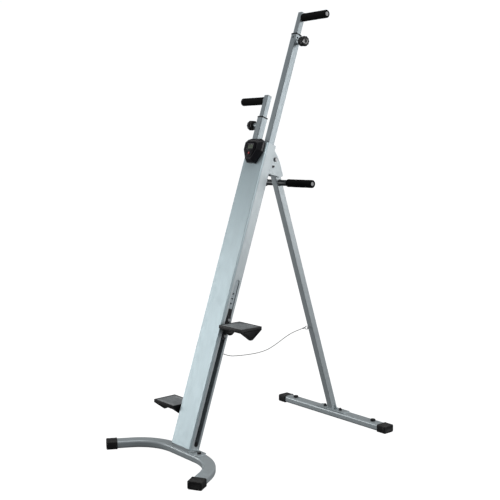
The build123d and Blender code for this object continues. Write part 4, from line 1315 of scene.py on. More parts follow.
# ------------------------------------------------------------------ console
@dataclass
class Console:
    """Small display with a shield-shaped shell, a screen and one button.

    Attributes:
        step: Depth of the straight rim at the back.
        nose: Share of the outline left at the front.
        groove: Width of the groove round the face plate.
        screen_size: Width and height of the screen.
        hole_gap: Room round the button.
    """

    step: float = 0.012
    nose: float = 0.80
    groove: float = 0.0012
    screen_size: tuple[float, float] = (0.032, 0.018)
    hole_gap: float = 0.0003

    def __post_init__(self) -> None:
        """Measure the CAD pieces."""
        self.low, self.high = COLUMN.span("console_housing")
        self.face_low, self.face_high = COLUMN.span("console_face")
        self.lcd_low, self.lcd_high = COLUMN.span("console_lcd")
        self.button_low, self.button_high = COLUMN.span("console_button")
        self.front = self.low.y
        self.middle = Vector((0.0, 0.0, self.high.z - 0.049))

    def outline(self, name: str, factor: float, back: float, front: float) -> bpy.types.Object:
        """Saw the shield outline out of a slab.

        Args:
            name: Name of the slab.
            factor: Share of the full outline.
            back: Depth of its back.
            front: Depth of its front.

        Returns:
            The slab.
        """
        half = 0.05 * factor
        top, bottom = 0.049 * factor, -0.052 * factor
        centre = (0.0, (back + front) / 2, self.middle.z + (top + bottom) / 2)
        slab = block(name, centre, (2 * half, back - front, top - bottom))
        with Shaping(slab) as shape:
            for side in (1.0, -1.0):
                upper = Vector((side * 0.05 * factor, front, self.middle.z + 0.035 * factor))
                shape.cut_off(upper, (side * 0.014, 0.0, 0.019))
                lower = Vector((side * 0.05 * factor, front, self.middle.z - 0.002 * factor))
                shape.cut_off(lower, (side * 0.05, 0.0, -0.029))
        return slab

    def button_drill(self, front: float, back: float) -> bpy.types.Object:
        """Make the drill for the button's hole.

        Args:
            front: Depth at which it starts.
            back: Depth at which it ends.

        Returns:
            The drill.
        """
        middle = (self.button_low + self.button_high) / 2
        radius = (self.button_high.x - self.button_low.x) / 2 + self.hole_gap
        return bar("button_drill", (0.0, front, middle.z), Axis.Y, back - front, radius, 40)

    def shell(self) -> None:
        """Model the shell with its bevelled sides."""
        back = self.high.y
        shell = self.outline("console_shell_body", 1.0, back, back - self.step)
        depth = self.front - (back - self.step)

        def front_face(place: float) -> Test:
            """Make a test for the face at a depth."""
            return lambda c, n: abs(c.y - place) < 1e-6 and n.y < -0.99

        steps = ((0.08, 0.995), (0.62, 0.86), (0.9, 0.81), (1.0, self.nose - 0.03))
        with Shaping(shell) as shape:
            place, size = back - self.step, 1.0
            for share, wanted in steps:
                shape.faces(front_face(place))
                target = back - self.step + depth * share
                shape.pull((0.0, target - place, 0.0))
                shape.scale((wanted / size, 1.0, wanted / size), (0.0, target, self.middle.z))
                place, size = target, wanted
            shape.faces(front_face(place))
            shape.inset(0.0025)
            shape.inset(self.groove, -0.0009)
            shape.inset(0.0003, 0.0)
            shape.slice((0.0, back - 0.004, self.middle.z), (0.0, 1.0, 0.0))
        carved(shell, [self.button_drill(self.front - 0.002, self.front + 0.012)])
        softened(shell, 0.0011, 3, 24.0)
        smoothed(shell, 32.0)
        fitted(shell, "frame", "console_shell", COLUMN, ["console_housing"])
        seam = self.outline("console_seam", 0.992, back - self.step + 0.0006, back - self.step - 0.0004)
        with Shaping(seam) as shape:
            shape.faces(front_face(back - self.step - 0.0004))
            shape.inset(0.0006)
        fitted(smoothed(seam), "frame", "console_grey", COLUMN)

    def face(self) -> None:
        """Model the face plate with the raised frame round the screen."""
        front = self.face_low.y
        plate = self.outline("console_face_plate", 0.62, self.face_high.y, front)
        lcd = (self.lcd_low + self.lcd_high) / 2
        width, height = self.screen_size
        window = block("window", (0.0, front, lcd.z), (width, 0.01, height))
        surround = block(
            "console_screen_frame", (0.0, front - 0.0004, lcd.z), (width + 0.008, 0.0016, height + 0.008)
        )
        with Shaping(surround) as shape:
            shape.faces(lambda c, n: n.y < -0.99)
            shape.inset(0.0022, 0.0)
            shape.scale((1.0, 1.0, 1.0), lcd)
            shape.pull((0.0, 0.0006, 0.0))
        carved(surround, [block("window_2", (0.0, front, lcd.z), (width - 0.001, 0.01, height - 0.001))])
        carved(plate, [window, self.button_drill(front - 0.002, front + 0.006)])
        softened(plate, 0.0005, 2, 30.0)
        softened(surround, 0.0004, 2, 30.0)
        fitted(smoothed(plate), "frame", "console_grey", COLUMN, ["console_face"])
        fitted(smoothed(surround), "frame", "console_shell", COLUMN)
        ring_middle = (self.button_low + self.button_high) / 2
        radius = (self.button_high.x - self.button_low.x) / 2
        collar = turned(
            "console_button_collar",
            (0.0, front, ring_middle.z),
            Axis.Y,
            [
                (0.0010, radius + 0.0006),
                (0.0, radius + 0.0006),
                (-0.0008, radius + 0.0009),
                (-0.0012, radius + 0.0014),
                (-0.0012, radius + 0.0022),
                (-0.0006, radius + 0.0030),
                (0.0, radius + 0.0034),
                (0.0010, radius + 0.0034),
            ],
            40,
        )
        with Shaping(collar) as shape:
            shape.faces(lambda c, n: (Vector((c.x, 0.0, c.z - ring_middle.z)).length < 1e-5))
            bpy.ops.mesh.bridge_edge_loops()
            shape.tidy()
        fitted(smoothed(collar, 50.0), "frame", "console_shell", COLUMN)

    def digit_segments(self) -> bpy.types.Object:
        """Lay out the dark segments of the running display.

        Returns:
            The joined segments.
        """
        lcd = (self.lcd_low + self.lcd_high) / 2
        front = self.lcd_low.y - 0.00012
        tall, wide, thick = 0.0098, 0.0052, 0.0011
        spots = {
            "a": ((0.0, tall / 2), True),
            "b": ((wide / 2, tall / 4), False),
            "c": ((wide / 2, -tall / 4), False),
            "d": ((0.0, -tall / 2), True),
            "e": ((-wide / 2, -tall / 4), False),
            "f": ((-wide / 2, tall / 4), False),
            "g": ((0.0, 0.0), True),
        }
        digits = {"0": "abcdef", "1": "bc", "4": "bcfg", "5": "acdfg", "8": "abcdefg"}
        first = block("segment", (0.0, 0.0, 0.0), (wide * 0.72, 0.0002, thick))
        with Shaping(first) as shape:
            for side in (1.0, -1.0):
                shape.faces(lambda c, n, s=side: n.x * s > 0.9)
                shape.scale((1.0, 1.0, 0.25), (0.0, 0.0, 0.0))
            shape.faces(lambda c, n: n.z > 0.7)
        made = []
        for index, figure in enumerate("0845"):
            left = lcd.x - 0.0108 + index * 0.0070 + (0.0012 if index > 1 else 0.0)
            for letter in digits[figure]:
                (x, z), flat = spots[letter]
                turn = Matrix.Identity(4) if flat else Matrix.Rotation(math.pi / 2, 4, "Y")
                length = Matrix.Scale(1.0 if flat else 1.12, 4, Axis.Z.vector if not flat else Axis.X.vector)
                place = Matrix.Translation((left + x, front, lcd.z + z + 0.0012)) @ length @ turn
                made.append(copied(first, f"segment_{index}_{letter}", place))
        for row, height in enumerate((0.0032, -0.0008)):
            place = Matrix.Translation((lcd.x - 0.0001, front, lcd.z + height)) @ Matrix.Scale(0.32, 4)
            made.append(copied(first, f"colon_{row}", place))
        for index in range(7):
            x = lcd.x - 0.0126 + index * 0.0042
            place = Matrix.Translation((x, front, lcd.z - 0.0068)) @ Matrix.Scale(0.62, 4)
            made.append(copied(first, f"bar_{index}", place))
        bpy.data.objects.remove(first, do_unlink=True)
        return joined("console_digits", made)

    def screen(self) -> None:
        """Model the screen's glass and the digits on it."""
        middle = (self.lcd_low + self.lcd_high) / 2
        size = self.lcd_high - self.lcd_low
        glass = block("console_screen", middle, size)
        with Shaping(glass) as shape:
            shape.faces(lambda c, n: n.y < -0.99)
            shape.inset(0.0006, 0.0)
            shape.pull((0.0, 0.00008, 0.0))
        fitted(softened(glass, 0.0001, 1), "frame", "lcd", COLUMN, ["console_lcd"])
        fitted(self.digit_segments(), "frame", "lcd_ink", COLUMN)

    def button(self) -> None:
        """Turn the domed red button."""
        low, high = self.button_low, self.button_high
        radius = (high.x - low.x) / 2
        middle = (low + high) / 2
        length = high.y - low.y
        button = turned(
            "console_button_cap",
            (0.0, high.y, middle.z),
            Axis.Y,
            [
                (0.0, radius * 0.96),
                (-0.002, radius),
                (-length + 0.0016, radius),
                (-length + 0.0007, radius * 0.93),
                (-length + 0.0002, radius * 0.78),
                (-length, radius * 0.6),
                (-length + 0.0002, radius * 0.45),
                (-length + 0.0004, radius * 0.2),
            ],
            40,
        )
        fitted(
            smoothed(button, 40.0), "console_button", "red_plastic", COLUMN, ["console_button"]
        )

    def build(self) -> None:
        """Build the whole console."""
        self.shell()
        self.face()
        self.screen()
        self.button()


# ------------------------------------------------------------------ handles and knobs
def mirrored_about_column(depth: float, shift: float) -> Matrix:
    """Half a turn about the column's length, then a slide along it.

    Args:
        depth: Depth of the turning axis.
        shift: Distance to slide up.

    Returns:
        The matrix, in the column's frame.
    """
    centre = Matrix.Translation((0.0, depth, 0.0))
    turn = Matrix.Rotation(math.pi, 4, "Z")
    return Matrix.Translation((0.0, 0.0, shift)) @ centre @ turn @ centre.inverted()


@dataclass
class HandleSide:
    """Foam grip, pull knob, screws and welds of one sliding handle.

    Attributes:
        side: Which half of the machine it is on.
        end_round: Radius of the foam's rounded ends.
        swell: Height of the foam's uneven swelling.
        flutes: Finger hollows round the knob.
        screw_radius: Radius of the screws under the bush.
        screw_below: Distance from the tube's top to the screws.
        weld_radius: Radius of a weld bead.
    """

    side: Side
    end_round: float = 0.004
    swell: float = 0.0005
    flutes: int = 10
    screw_radius: float = 0.0040
    screw_below: float = 0.0125
    weld_radius: float = 0.0013

    def __post_init__(self) -> None:
        """Measure the CAD pieces of the right half and the shift to this one."""
        self.grip = COLUMN.span("right_grip")
        self.tube = COLUMN.span("right_slider_tube")
        self.handle = COLUMN.span("right_handle_tube")
        self.knob = COLUMN.span("right_knob")
        own = COLUMN.span(f"{self.side.word}_knob")
        depth = (self.tube[0].y + self.tube[1].y) / 2
        shift = own[0].z - self.knob[0].z
        same = self.side is Side.RIGHT
        self.place = Matrix.Identity(4) if same else mirrored_about_column(depth, shift)
        self.depth = depth

    def put(
        self, piece: bpy.types.Object, part: str, finish: str, stands_for: Sequence[str] = ()
    ) -> None:
        """Move a right-hand piece to this side and fit it.

        Args:
            piece: The piece, built on the right.
            part: Body name without its side.
            finish: Name of its material.
            stands_for: CAD nodes it replaces, without their side.
        """
        piece.matrix_world = self.place
        settle(piece)
        nodes = [f"{self.side.word}_{node}" for node in stands_for]
        fitted(piece, f"{self.side.word}_{part}", finish, COLUMN, nodes)

    def foam(self) -> None:
        """Model the foam grip, a little uneven along its length."""
        low, high = self.grip
        length = high.x - low.x
        radius = (high.z - low.z) / 2 - 0.0001
        centre = (low.x, self.depth, (low.z + high.z) / 2)
        rings = [(0.0, radius - self.end_round)]
        for step in range(1, 5):
            turn = step / 4 * math.pi / 2
            drop = self.end_round * (1 - math.sin(turn))
            rings.append((self.end_round * (1 - math.cos(turn)), radius - drop))
        count = 22
        for step in range(1, count):
            along = self.end_round + (length - 2 * self.end_round) * step / count
            dip = 0.00022 * math.sin(step * 1.9) + 0.00016 * math.sin(step * 3.7 + 1.0)
            rings.append((along, radius - abs(dip)))
        for step in range(5):
            turn = (1 - step / 4) * math.pi / 2
            drop = self.end_round * (1 - math.sin(turn))
            rings.append((length - self.end_round * (1 - math.cos(turn)), radius - drop))
        rings += [(length, 0.0092), (length - 0.0008, 0.0084), (length - 0.0029, 0.0082)]
        bore = [(0.0, 0.0112), (length - 0.0034, 0.0111)]
        foam = turned(f"{self.side.word}_foam_grip", centre, Axis.X, rings, 56, bore)
        clouds = bpy.data.textures.new(f"{self.side.word}_foam_swell", "CLOUDS")
        clouds.noise_scale = 0.018
        modified(
            foam, "DISPLACE", texture=clouds, strength=self.swell, mid_level=1.0, texture_coords="LOCAL"
        )
        self.put(smoothed(foam, 55.0), "handle", "grip_foam", ["grip"])

    def knob_body(self) -> None:
        """Turn the pull knob, hollow its flutes and set the turn arrow in its face."""
        low, high = self.knob
        radius = (high.z - low.z) / 2
        length = high.x - low.x
        centre = (low.x, self.depth, (low.z + high.z) / 2)
        profile = [
            (0.0, radius * 0.86),
            (0.0012, radius * 0.92),
            (0.0055, radius * 0.93),
            (0.0075, radius * 0.87),
            (0.0100, radius * 0.86),
            (0.0125, radius * 0.95),
            (0.0140, radius * 0.985),
            (0.0160, radius),
            (length - 0.0045, radius),
            (length - 0.0024, radius * 0.98),
            (length - 0.0008, radius * 0.93),
            (length, radius * 0.86),
            (length, radius * 0.80),
            (length - 0.0007, radius * 0.77),
            (length - 0.0008, radius * 0.30),
        ]
        bore = [(0.0, 0.0034), (0.018, 0.0033)]
        name = f"{self.side.word}_pull_knob"
        sides = self.flutes * 8
        knob = turned(name, centre, Axis.X, profile, sides, bore)
        middle = Vector(centre)

        def in_flute(place: Vector, width: float) -> bool:
            """Tell whether a corner of the barrel lies in a flute."""
            across = place - middle
            if across.x < 0.0125 or math.hypot(across.y, across.z) < radius * 0.8:
                return False
            share = math.atan2(across.z, across.y) / (2 * math.pi) * self.flutes
            return abs(share - round(share)) < width

        with Shaping(knob) as shape:
            for width, factor in ((0.30, 0.965), (0.19, 0.965), (0.07, 0.985)):
                shape.corners(lambda p, w=width: in_flute(p, w))
                shape.scale((1.0, factor, factor), middle)
        self.put(smoothed(knob, 40.0), "knob", "black_plastic", ["knob"])
        self.put(self.arrow(centre, length, radius), "knob", "pale_print")

    def arrow(self, centre: Point, length: float, radius: float) -> bpy.types.Object:
        """Spin the pale turn arrow that lies in the knob's face.

        Args:
            centre: Middle of the knob's back.
            length: Length of the knob.
            radius: Radius of the knob.

        Returns:
            The arrow.
        """
        middle = Vector(centre)
        face = length - 0.0006
        ring = radius * 0.46
        start = Vector((0.0, -0.50, -0.30)) * radius
        first = math.atan2(start.z, start.y)
        arc = block("arrow_arc", (middle.x + face, middle.y + ring, middle.z), (0.0007, 0.0021, 0.0003))
        with Shaping(arc) as shape:
            shape.faces(lambda c, n: n.z > 0.9)
            bpy.ops.mesh.spin(
                steps=22, angle=math.radians(-215.0), center=tuple(middle), axis=(1.0, 0.0, 0.0)
            )
            shape.tidy()
        arc.matrix_world = (
            Matrix.Translation(middle) @ Matrix.Rotation(first, 4, "X") @ Matrix.Translation(-middle)
        )
        settle(arc)
        deselect()
        bpy.ops.mesh.primitive_cylinder_add(vertices=3, radius=radius * 0.46, depth=0.0007)
        head = bpy.context.object
        head.matrix_world = (
            Matrix.Translation(middle + Vector((face, 0.0, 0.0)) + start)
            @ Matrix.Rotation(first, 4, "X")
            @ Matrix.Rotation(math.pi / 2, 4, "Y")
        )
        settle(head)
        arrow = joined(f"{self.side.word}_knob_arrow", [arc, head])
        with Shaping(arrow) as shape:
            shape.tidy()
        return softened(arrow, 0.0001, 1)

    def screws(self) -> None:
        """Turn the two screws that hold the bush, one in each outer wall."""
        low, high = self.tube
        level = high.z - self.screw_below
        middle_x = (low.x + high.x) / 2
        proud = 0.0013
        r = self.screw_radius
        profile = [
            (-0.0004, r * 0.98),
            (0.0, r),
            (proud * 0.45, r * 0.94),
            (proud * 0.8, r * 0.76),
            (proud, r * 0.5),
            (proud, r * 0.34),
            (proud * 0.25, r * 0.3),
        ]
        outer = turned("side_screw", (high.x, self.depth - 0.004, level), Axis.X, profile, 24)
        front = turned("front_screw", (middle_x, -low.y, level), Axis.Y, profile, 24)
        turn = Matrix.Rotation(math.pi, 4, "Z")
        centre = Matrix.Translation((middle_x, 0.0, 0.0))
        front.matrix_world = centre @ turn @ centre.inverted()
        settle(front)
        screws = joined(f"{self.side.word}_bush_screws", [outer, front])
        self.put(smoothed(screws, 40.0), "slider", "dark_steel")

    def welds(self) -> None:
        """Lay the weld beads round the grip bar and the knob's neck."""
        low, high = self.grip
        level = (low.z + high.z) / 2
        neck = COLUMN.span("right_knob_neck")
        tube_low, tube_high = COLUMN.span("right_handle_plugs")
        face = tube_low.x + 0.023
        bead = weld_ring(
            f"{self.side.word}_grip_weld",
            (face + 0.0006, self.depth, level),
            Axis.X,
            0.0113,
            self.weld_radius,
        )
        self.put(bead, "handle", "weld_paint")
        collar = weld_ring(
            f"{self.side.word}_neck_weld",
            (neck[0].x + 0.0004, self.depth, (neck[0].z + neck[1].z) / 2),
            Axis.X,
            (neck[1].z - neck[0].z) / 2 + 0.0004,
            self.weld_radius,
        )
        self.put(collar, "slider", "weld_paint")

    def build(self) -> None:
        """Build everything on this side's handle."""
        self.foam()
        self.knob_body()
        self.screws()
        self.welds()


def weld_ring(
    name: str, centre: Point, axis: Axis, radius: float, bead: float, corners: int = 48
) -> bpy.types.Object:
    """Lay a rippled weld bead in a ring.

    Args:
        name: Name of the bead.
        centre: Middle of the ring.
        axis: Direction the ring faces.
        radius: Radius of the ring.
        bead: Radius of the bead.
        corners: Steps round the ring.

    Returns:
        The bead.
    """
    deselect()
    turn = Axis.Z.vector.rotation_difference(axis.vector).to_euler()
    bpy.ops.mesh.primitive_torus_add(
        major_segments=corners,
        minor_segments=8,
        major_radius=radius,
        minor_radius=bead,
        location=tuple(centre),
        rotation=turn,
    )
    ring = settle(bpy.context.object)
    ring.name = ring.data.name = name
    middle = Vector(centre)
    ripple = 1.0 + bead * 0.16 / radius
    with Shaping(ring) as shape:
        def on_ripple(place: Vector) -> bool:
            """Tell whether a corner sits on every third step of the ring."""
            across = [a for i, a in enumerate(place - middle) if not axis.value[i]]
            share = math.atan2(across[1], across[0]) / (2 * math.pi) * corners
            return round(share) % 3 == 0
        shape.corners(on_ripple)
        shape.scale((ripple,) * 3, middle)
    return smoothed(ring, 60.0)


def weld_seam(name: str, start: Point, end: Point, bead: float) -> bpy.types.Object:
    """Lay a straight rippled weld bead.

    Args:
        name: Name of the bead.
        start: Where it starts.
        end: Where it ends.
        bead: Radius of the bead.

    Returns:
        The bead.
    """
    first, last = Vector(start), Vector(end)
    run = last - first
    turn = Axis.Z.vector.rotation_difference(run.normalized())
    steps = max(4, int(run.length / (bead * 1.1)))
    profile = [(0.0, bead * 0.5)]
    for step in range(1, steps):
        profile.append((run.length * step / steps, bead * (1.0 if step % 2 else 0.86)))
    profile.append((run.length, bead * 0.5))
    seam = turned(name, (0.0, 0.0, 0.0), Axis.Z, profile, 10)
    seam.matrix_world = Matrix.Translation(first) @ turn.to_matrix().to_4x4()
    return smoothed(settle(seam), 60.0)


# ------------------------------------------------------------------ pedals
@dataclass
class Pedal:
    """Moulded pedal with a raised rim, a patterned tread and V-shaped ends.

    Attributes:
        side: Which half of the machine it is on.
        lip: Height of the shallow front and back walls.
        keel_half: Half width of the flat under each end.
        end_wall: Thickness of the two end skirts.
        wall: Thickness of the front and back walls.
        rim: Width of the rim round the tread.
        sunk: Depth of the tread under the rim.
        rib: Width of a long rib.
        columns: Tread blocks across the pedal.
        rows: Tread blocks from front to back.
        mat_thickness: Thickness of the sheet under the tread blocks.
    """

    side: Side
    lip: float = 0.013
    keel_half: float = 0.006
    end_wall: float = 0.009
    wall: float = 0.004
    rim: float = 0.0045
    sunk: float = 0.0018
    rib: float = 0.0026
    columns: int = 9
    rows: int = 8
    mat_thickness: float = 0.0008

    def __post_init__(self) -> None:
        """Measure the CAD pedal of the right half and the shift to this one."""
        self.low, self.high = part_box("right_pedal")
        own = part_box(f"{self.side.word}_pedal")
        middle = (self.low + self.high) / 2
        self.middle = middle
        if self.side is Side.RIGHT:
            self.place = Matrix.Identity(4)
        else:
            target = (own[0] + own[1]) / 2
            turn = Matrix.Rotation(math.pi, 4, "Z")
            self.place = Matrix.Translation(target) @ turn @ Matrix.Translation(-middle)

    def shell(self) -> bpy.types.Object:
        """Model the hollow body with its skirts.

        Returns:
            The body.
        """
        low, high, middle = self.low, self.high, self.middle
        body = block("pedal_body", middle, high - low)
        keel = (middle.x, middle.y + self.keel_half, low.z)
        with Shaping(body) as shape:
            for way in (1.0, -1.0):
                drop = (high.z - self.lip) - low.z
                out = (high.y - middle.y) - self.keel_half
                spot = (middle.x, middle.y + way * self.keel_half, low.z)
                shape.cut_off(spot, (0.0, way * drop, -out))
            shape.edges(
                lambda a, b: abs(a.x - b.x) < 1e-6
                and abs(a.z - b.z) < 1e-6
                and a.z > high.z - 0.001
                and abs(a.y - b.y) > 0.01
            )
        room = block(
            "room",
            (middle.x, middle.y, low.z + (high.z - 0.008 - low.z) / 2 - 0.005),
            (
                high.x - low.x - 2 * self.end_wall,
                high.y - low.y - 2 * self.wall,
                high.z - 0.008 - low.z + 0.01,
            ),
        )
        arch = block("arch", (middle.x, middle.y, low.z), (high.x - low.x - 2 * self.end_wall, 0.3, 0.052))
        with Shaping(arch) as shape:
            shape.faces(lambda c, n: n.z > 0.9)
            shape.scale((0.62, 1.0, 1.0), (middle.x - 0.005, middle.y, low.z))
            shape.edges(lambda a, b: abs(a.y - b.y) > 0.1 and a.z > low.z)
            shape.round_edges(0.012, 5)
        slot = block("slot", (low.x, middle.y, high.z - 0.022), (0.030, 0.026, 0.018))
        carved(body, [room, arch, slot])
        with Shaping(body) as shape:
            shape.faces(lambda c, n: n.z > 0.99 and c.z > high.z - 1e-4)
            shape.inset(self.rim)
            shape.inset(0.0006, -self.sunk)
        return softened(body, 0.0016, 3, 40.0)

    def end_panel(self) -> bpy.types.Object:
        """Model the raised V frame on each end skirt.

        Returns:
            The frames of both ends, joined.
        """
        low, high, middle = self.low, self.high, self.middle
        frames = []
        for way, x in ((1.0, high.x - 0.0006), (-1.0, low.x + 0.0006)):
            panel = block("end_frame", (x, middle.y, middle.z + 0.001), (0.0012, 0.074, 0.026))
            with Shaping(panel) as shape:
                for turn in (1.0, -1.0):
                    shape.cut_off(
                        (x, middle.y + turn * 0.010, middle.z - 0.012), (0.0, turn * 0.022, -0.027)
                    )
                shape.faces(lambda c, n, w=way: n.x * w > 0.9)
                shape.inset(0.0022)
                shape.inset(0.0004, -0.0008)
            frames.append(panel)
        return softened(joined("pedal_end_frames", frames), 0.0003, 2)

    def tread(self) -> bpy.types.Object:
        """Model the long ribs and the slanted blocks of the tread.

        Returns:
            The tread pattern.
        """
        low, high, middle = self.low, self.high, self.middle
        floor = high.z - self.sunk
        inner_x = high.x - low.x - 2 * self.rim - 0.006
        inner_y = high.y - low.y - 2 * self.rim - 0.004
        mat_size = (high.x - low.x - 2 * self.rim, high.y - low.y - 2 * self.rim, self.mat_thickness)
        mat = block("mat", (middle.x, middle.y, floor), mat_size)
        made = [mat]
        rib = block("rib", (middle.x, 0.0, floor + 0.0006), (inner_x, self.rib, 0.0022))
        with Shaping(rib) as shape:
            shape.faces(lambda c, n: n.z > 0.9)
            shape.scale((0.99, 0.6, 1.0), (middle.x, 0.0, floor))
        softened(rib, 0.0004, 2)
        front = middle.y - inner_y / 2
        for index in range(3):
            for way in (0, 1):
                y = front + 0.0022 + index * 0.0052
                place = (y, 2 * middle.y - y)[way]
                made.append(copied(rib, f"rib_{index}_{way}", Matrix.Translation((0.0, place, 0.0))))
        bpy.data.objects.remove(rib, do_unlink=True)
        stud = block("stud", (0.0, 0.0, 0.0), (0.0112, 0.0030, 0.0022))
        with Shaping(stud) as shape:
            shape.faces(lambda c, n: n.z > 0.9)
            shape.scale((0.86, 0.55, 1.0), (0.0, 0.0, 0.0))
        softened(stud, 0.0004, 2)
        room_y = inner_y - 2 * 0.0165
        pitch_x = inner_x / self.columns
        pitch_y = room_y / self.rows
        for column in range(self.columns):
            for row in range(self.rows):
                lean = math.radians(24.0 if column % 2 else -24.0)
                x = middle.x - inner_x / 2 + (column + 0.5) * pitch_x
                y = middle.y - room_y / 2 + (row + 0.5) * pitch_y
                place = Matrix.Translation((x, y, floor + 0.0006)) @ Matrix.Rotation(lean, 4, "Z")
                made.append(copied(stud, f"stud_{column}_{row}", place))
        bpy.data.objects.remove(stud, do_unlink=True)
        return joined("pedal_tread", made)

    def build(self) -> None:
        """Build the pedal and fit it on its side."""
        word = self.side.word
        body = joined(f"{word}_pedal_shell", [self.shell(), self.end_panel()])
        tread = self.tread()
        tread.name = tread.data.name = f"{word}_pedal_tread"
        # Painted light: the tread gets a pale grey finish that stands for light and sheen on the black pedal tops.
        pieces = ((body, "black_plastic", [f"{word}_pedal"]), (tread, "tread_plastic", []))
        for piece, finish, nodes in pieces:
            piece.matrix_world = self.place
            settle(piece)
            fitted(smoothed(piece, 32.0), f"{word}_slider", finish, UPRIGHT, nodes)


# ------------------------------------------------------------------ foot caps
@dataclass
class FootCaps:
    """Rubber-faced end caps of one foot.

    Attributes:
        node: CAD node that holds both caps.
        body: CAD body they move with.
        tube: CAD node of the foot tube; not used.
        size: Width, height and length of a cap.
        band: Length of the raised band at the mouth.
        step: Height of the band over the rest.
        corner: Radius of the long edges.
    """

    node: str
    body: str
    tube: str
    size: tuple[float, float, float] = (0.059, 0.032, 0.044)
    band: float = 0.006
    step: float = 0.0007
    corner: float = 0.0045

    def cap(self) -> bpy.types.Object:
        """Model one cap along X, with its outer end at zero.

        Returns:
            The cap.
        """
        width, height, length = self.size
        cap = block("cap", (-length + self.band / 2, 0.0, height / 2), (self.band, width, height))
        middle = Vector((0.0, 0.0, height / 2))

        def end_at(place: float, way: float) -> Test:
            """Make a test for the end face at a place."""
            return lambda c, n: abs(c.x - place) < 1e-6 and n.x * way > 0.99

        with Shaping(cap) as shape:
            place, share = -length + self.band, 1.0
            narrow = 1.0 - 2 * self.step / width
            for target, wanted in (
                (place + 0.0008, narrow),
                (-0.016, narrow),
                (-0.0152, narrow - 0.012),
                (-0.0132, narrow - 0.012),
                (-0.0124, narrow),
                (-0.004, narrow),
                (-0.0012, narrow - 0.035),
                (0.0, narrow - 0.10),
            ):
                shape.faces(end_at(place, 1.0))
                shape.pull((target - place, 0.0, 0.0))
                factor = wanted / share
                shape.scale((1.0, factor, factor), (target, 0.0, middle.z))
                place, share = target, wanted
            shape.faces(end_at(0.0, 1.0))
            shape.inset(0.005)
            shape.inset(0.0012, -0.0009)
            shape.faces(end_at(-length, -1.0))
            shape.inset(0.0046)
            shape.pull((length - 0.006, 0.0, 0.0))
            shape.edges(
                lambda a, b: abs(a.x - b.x) > 0.0004
                and abs(a.y) > width / 2 * 0.82
                and abs(a.y - b.y) < 0.004
                and abs(a.z - middle.z) > height / 2 * 0.8
            )
            shape.round_edges(self.corner, 4)
            shape.tidy()
        with Shaping(cap) as shape:
            shape.corners(lambda p: p.z < 0.0012)
            shape.scale((1.0, 1.0, 0.0), (0.0, 0.0, 0.0))
        return softened(cap, 0.0007, 2, 40.0)

    def build(self) -> None:
        """Model a cap, copy it to both ends and fit the pair."""
        cap = self.cap()
        pair = []
        halves = frame["nodes"][self.node].data.vertices
        for side in Side:
            own = [v.co for v in halves if v.co.x * side.value > 0]
            low = Vector((min(p.x for p in own), min(p.y for p in own), 0.0))
            high = Vector((max(p.x for p in own), max(p.y for p in own), 0.0))
            middle = (low + high) / 2
            run = self.direction(high - low, side)
            tip = middle + run * (self.size[2] / 2)
            turn = Matrix.Rotation(math.atan2(run.y, run.x), 4, "Z")
            pair.append(copied(cap, f"cap_{side.word}", Matrix.Translation(tip) @ turn))
        bpy.data.objects.remove(cap, do_unlink=True)
        caps = joined(f"{self.node}_moulded", pair)
        fitted(smoothed(caps, 35.0), self.body, "rubber_foot", UPRIGHT, [self.node])

    def direction(self, spread: Vector, side: Side) -> Vector:
        """Work out which way a cap points from the room it takes, seen from above.

        Args:
            spread: Width and depth of its box.
            side: Which half of the machine it is on.

        Returns:
            The unit direction, level with the floor.
        """
        width, _, length = self.size
        square = length * length - width * width
        across = (length * spread.x - width * spread.y) / square
        forward = (length * spread.y - width * spread.x) / square
        return Vector((side.value * across, -abs(forward), 0.0)).normalized()


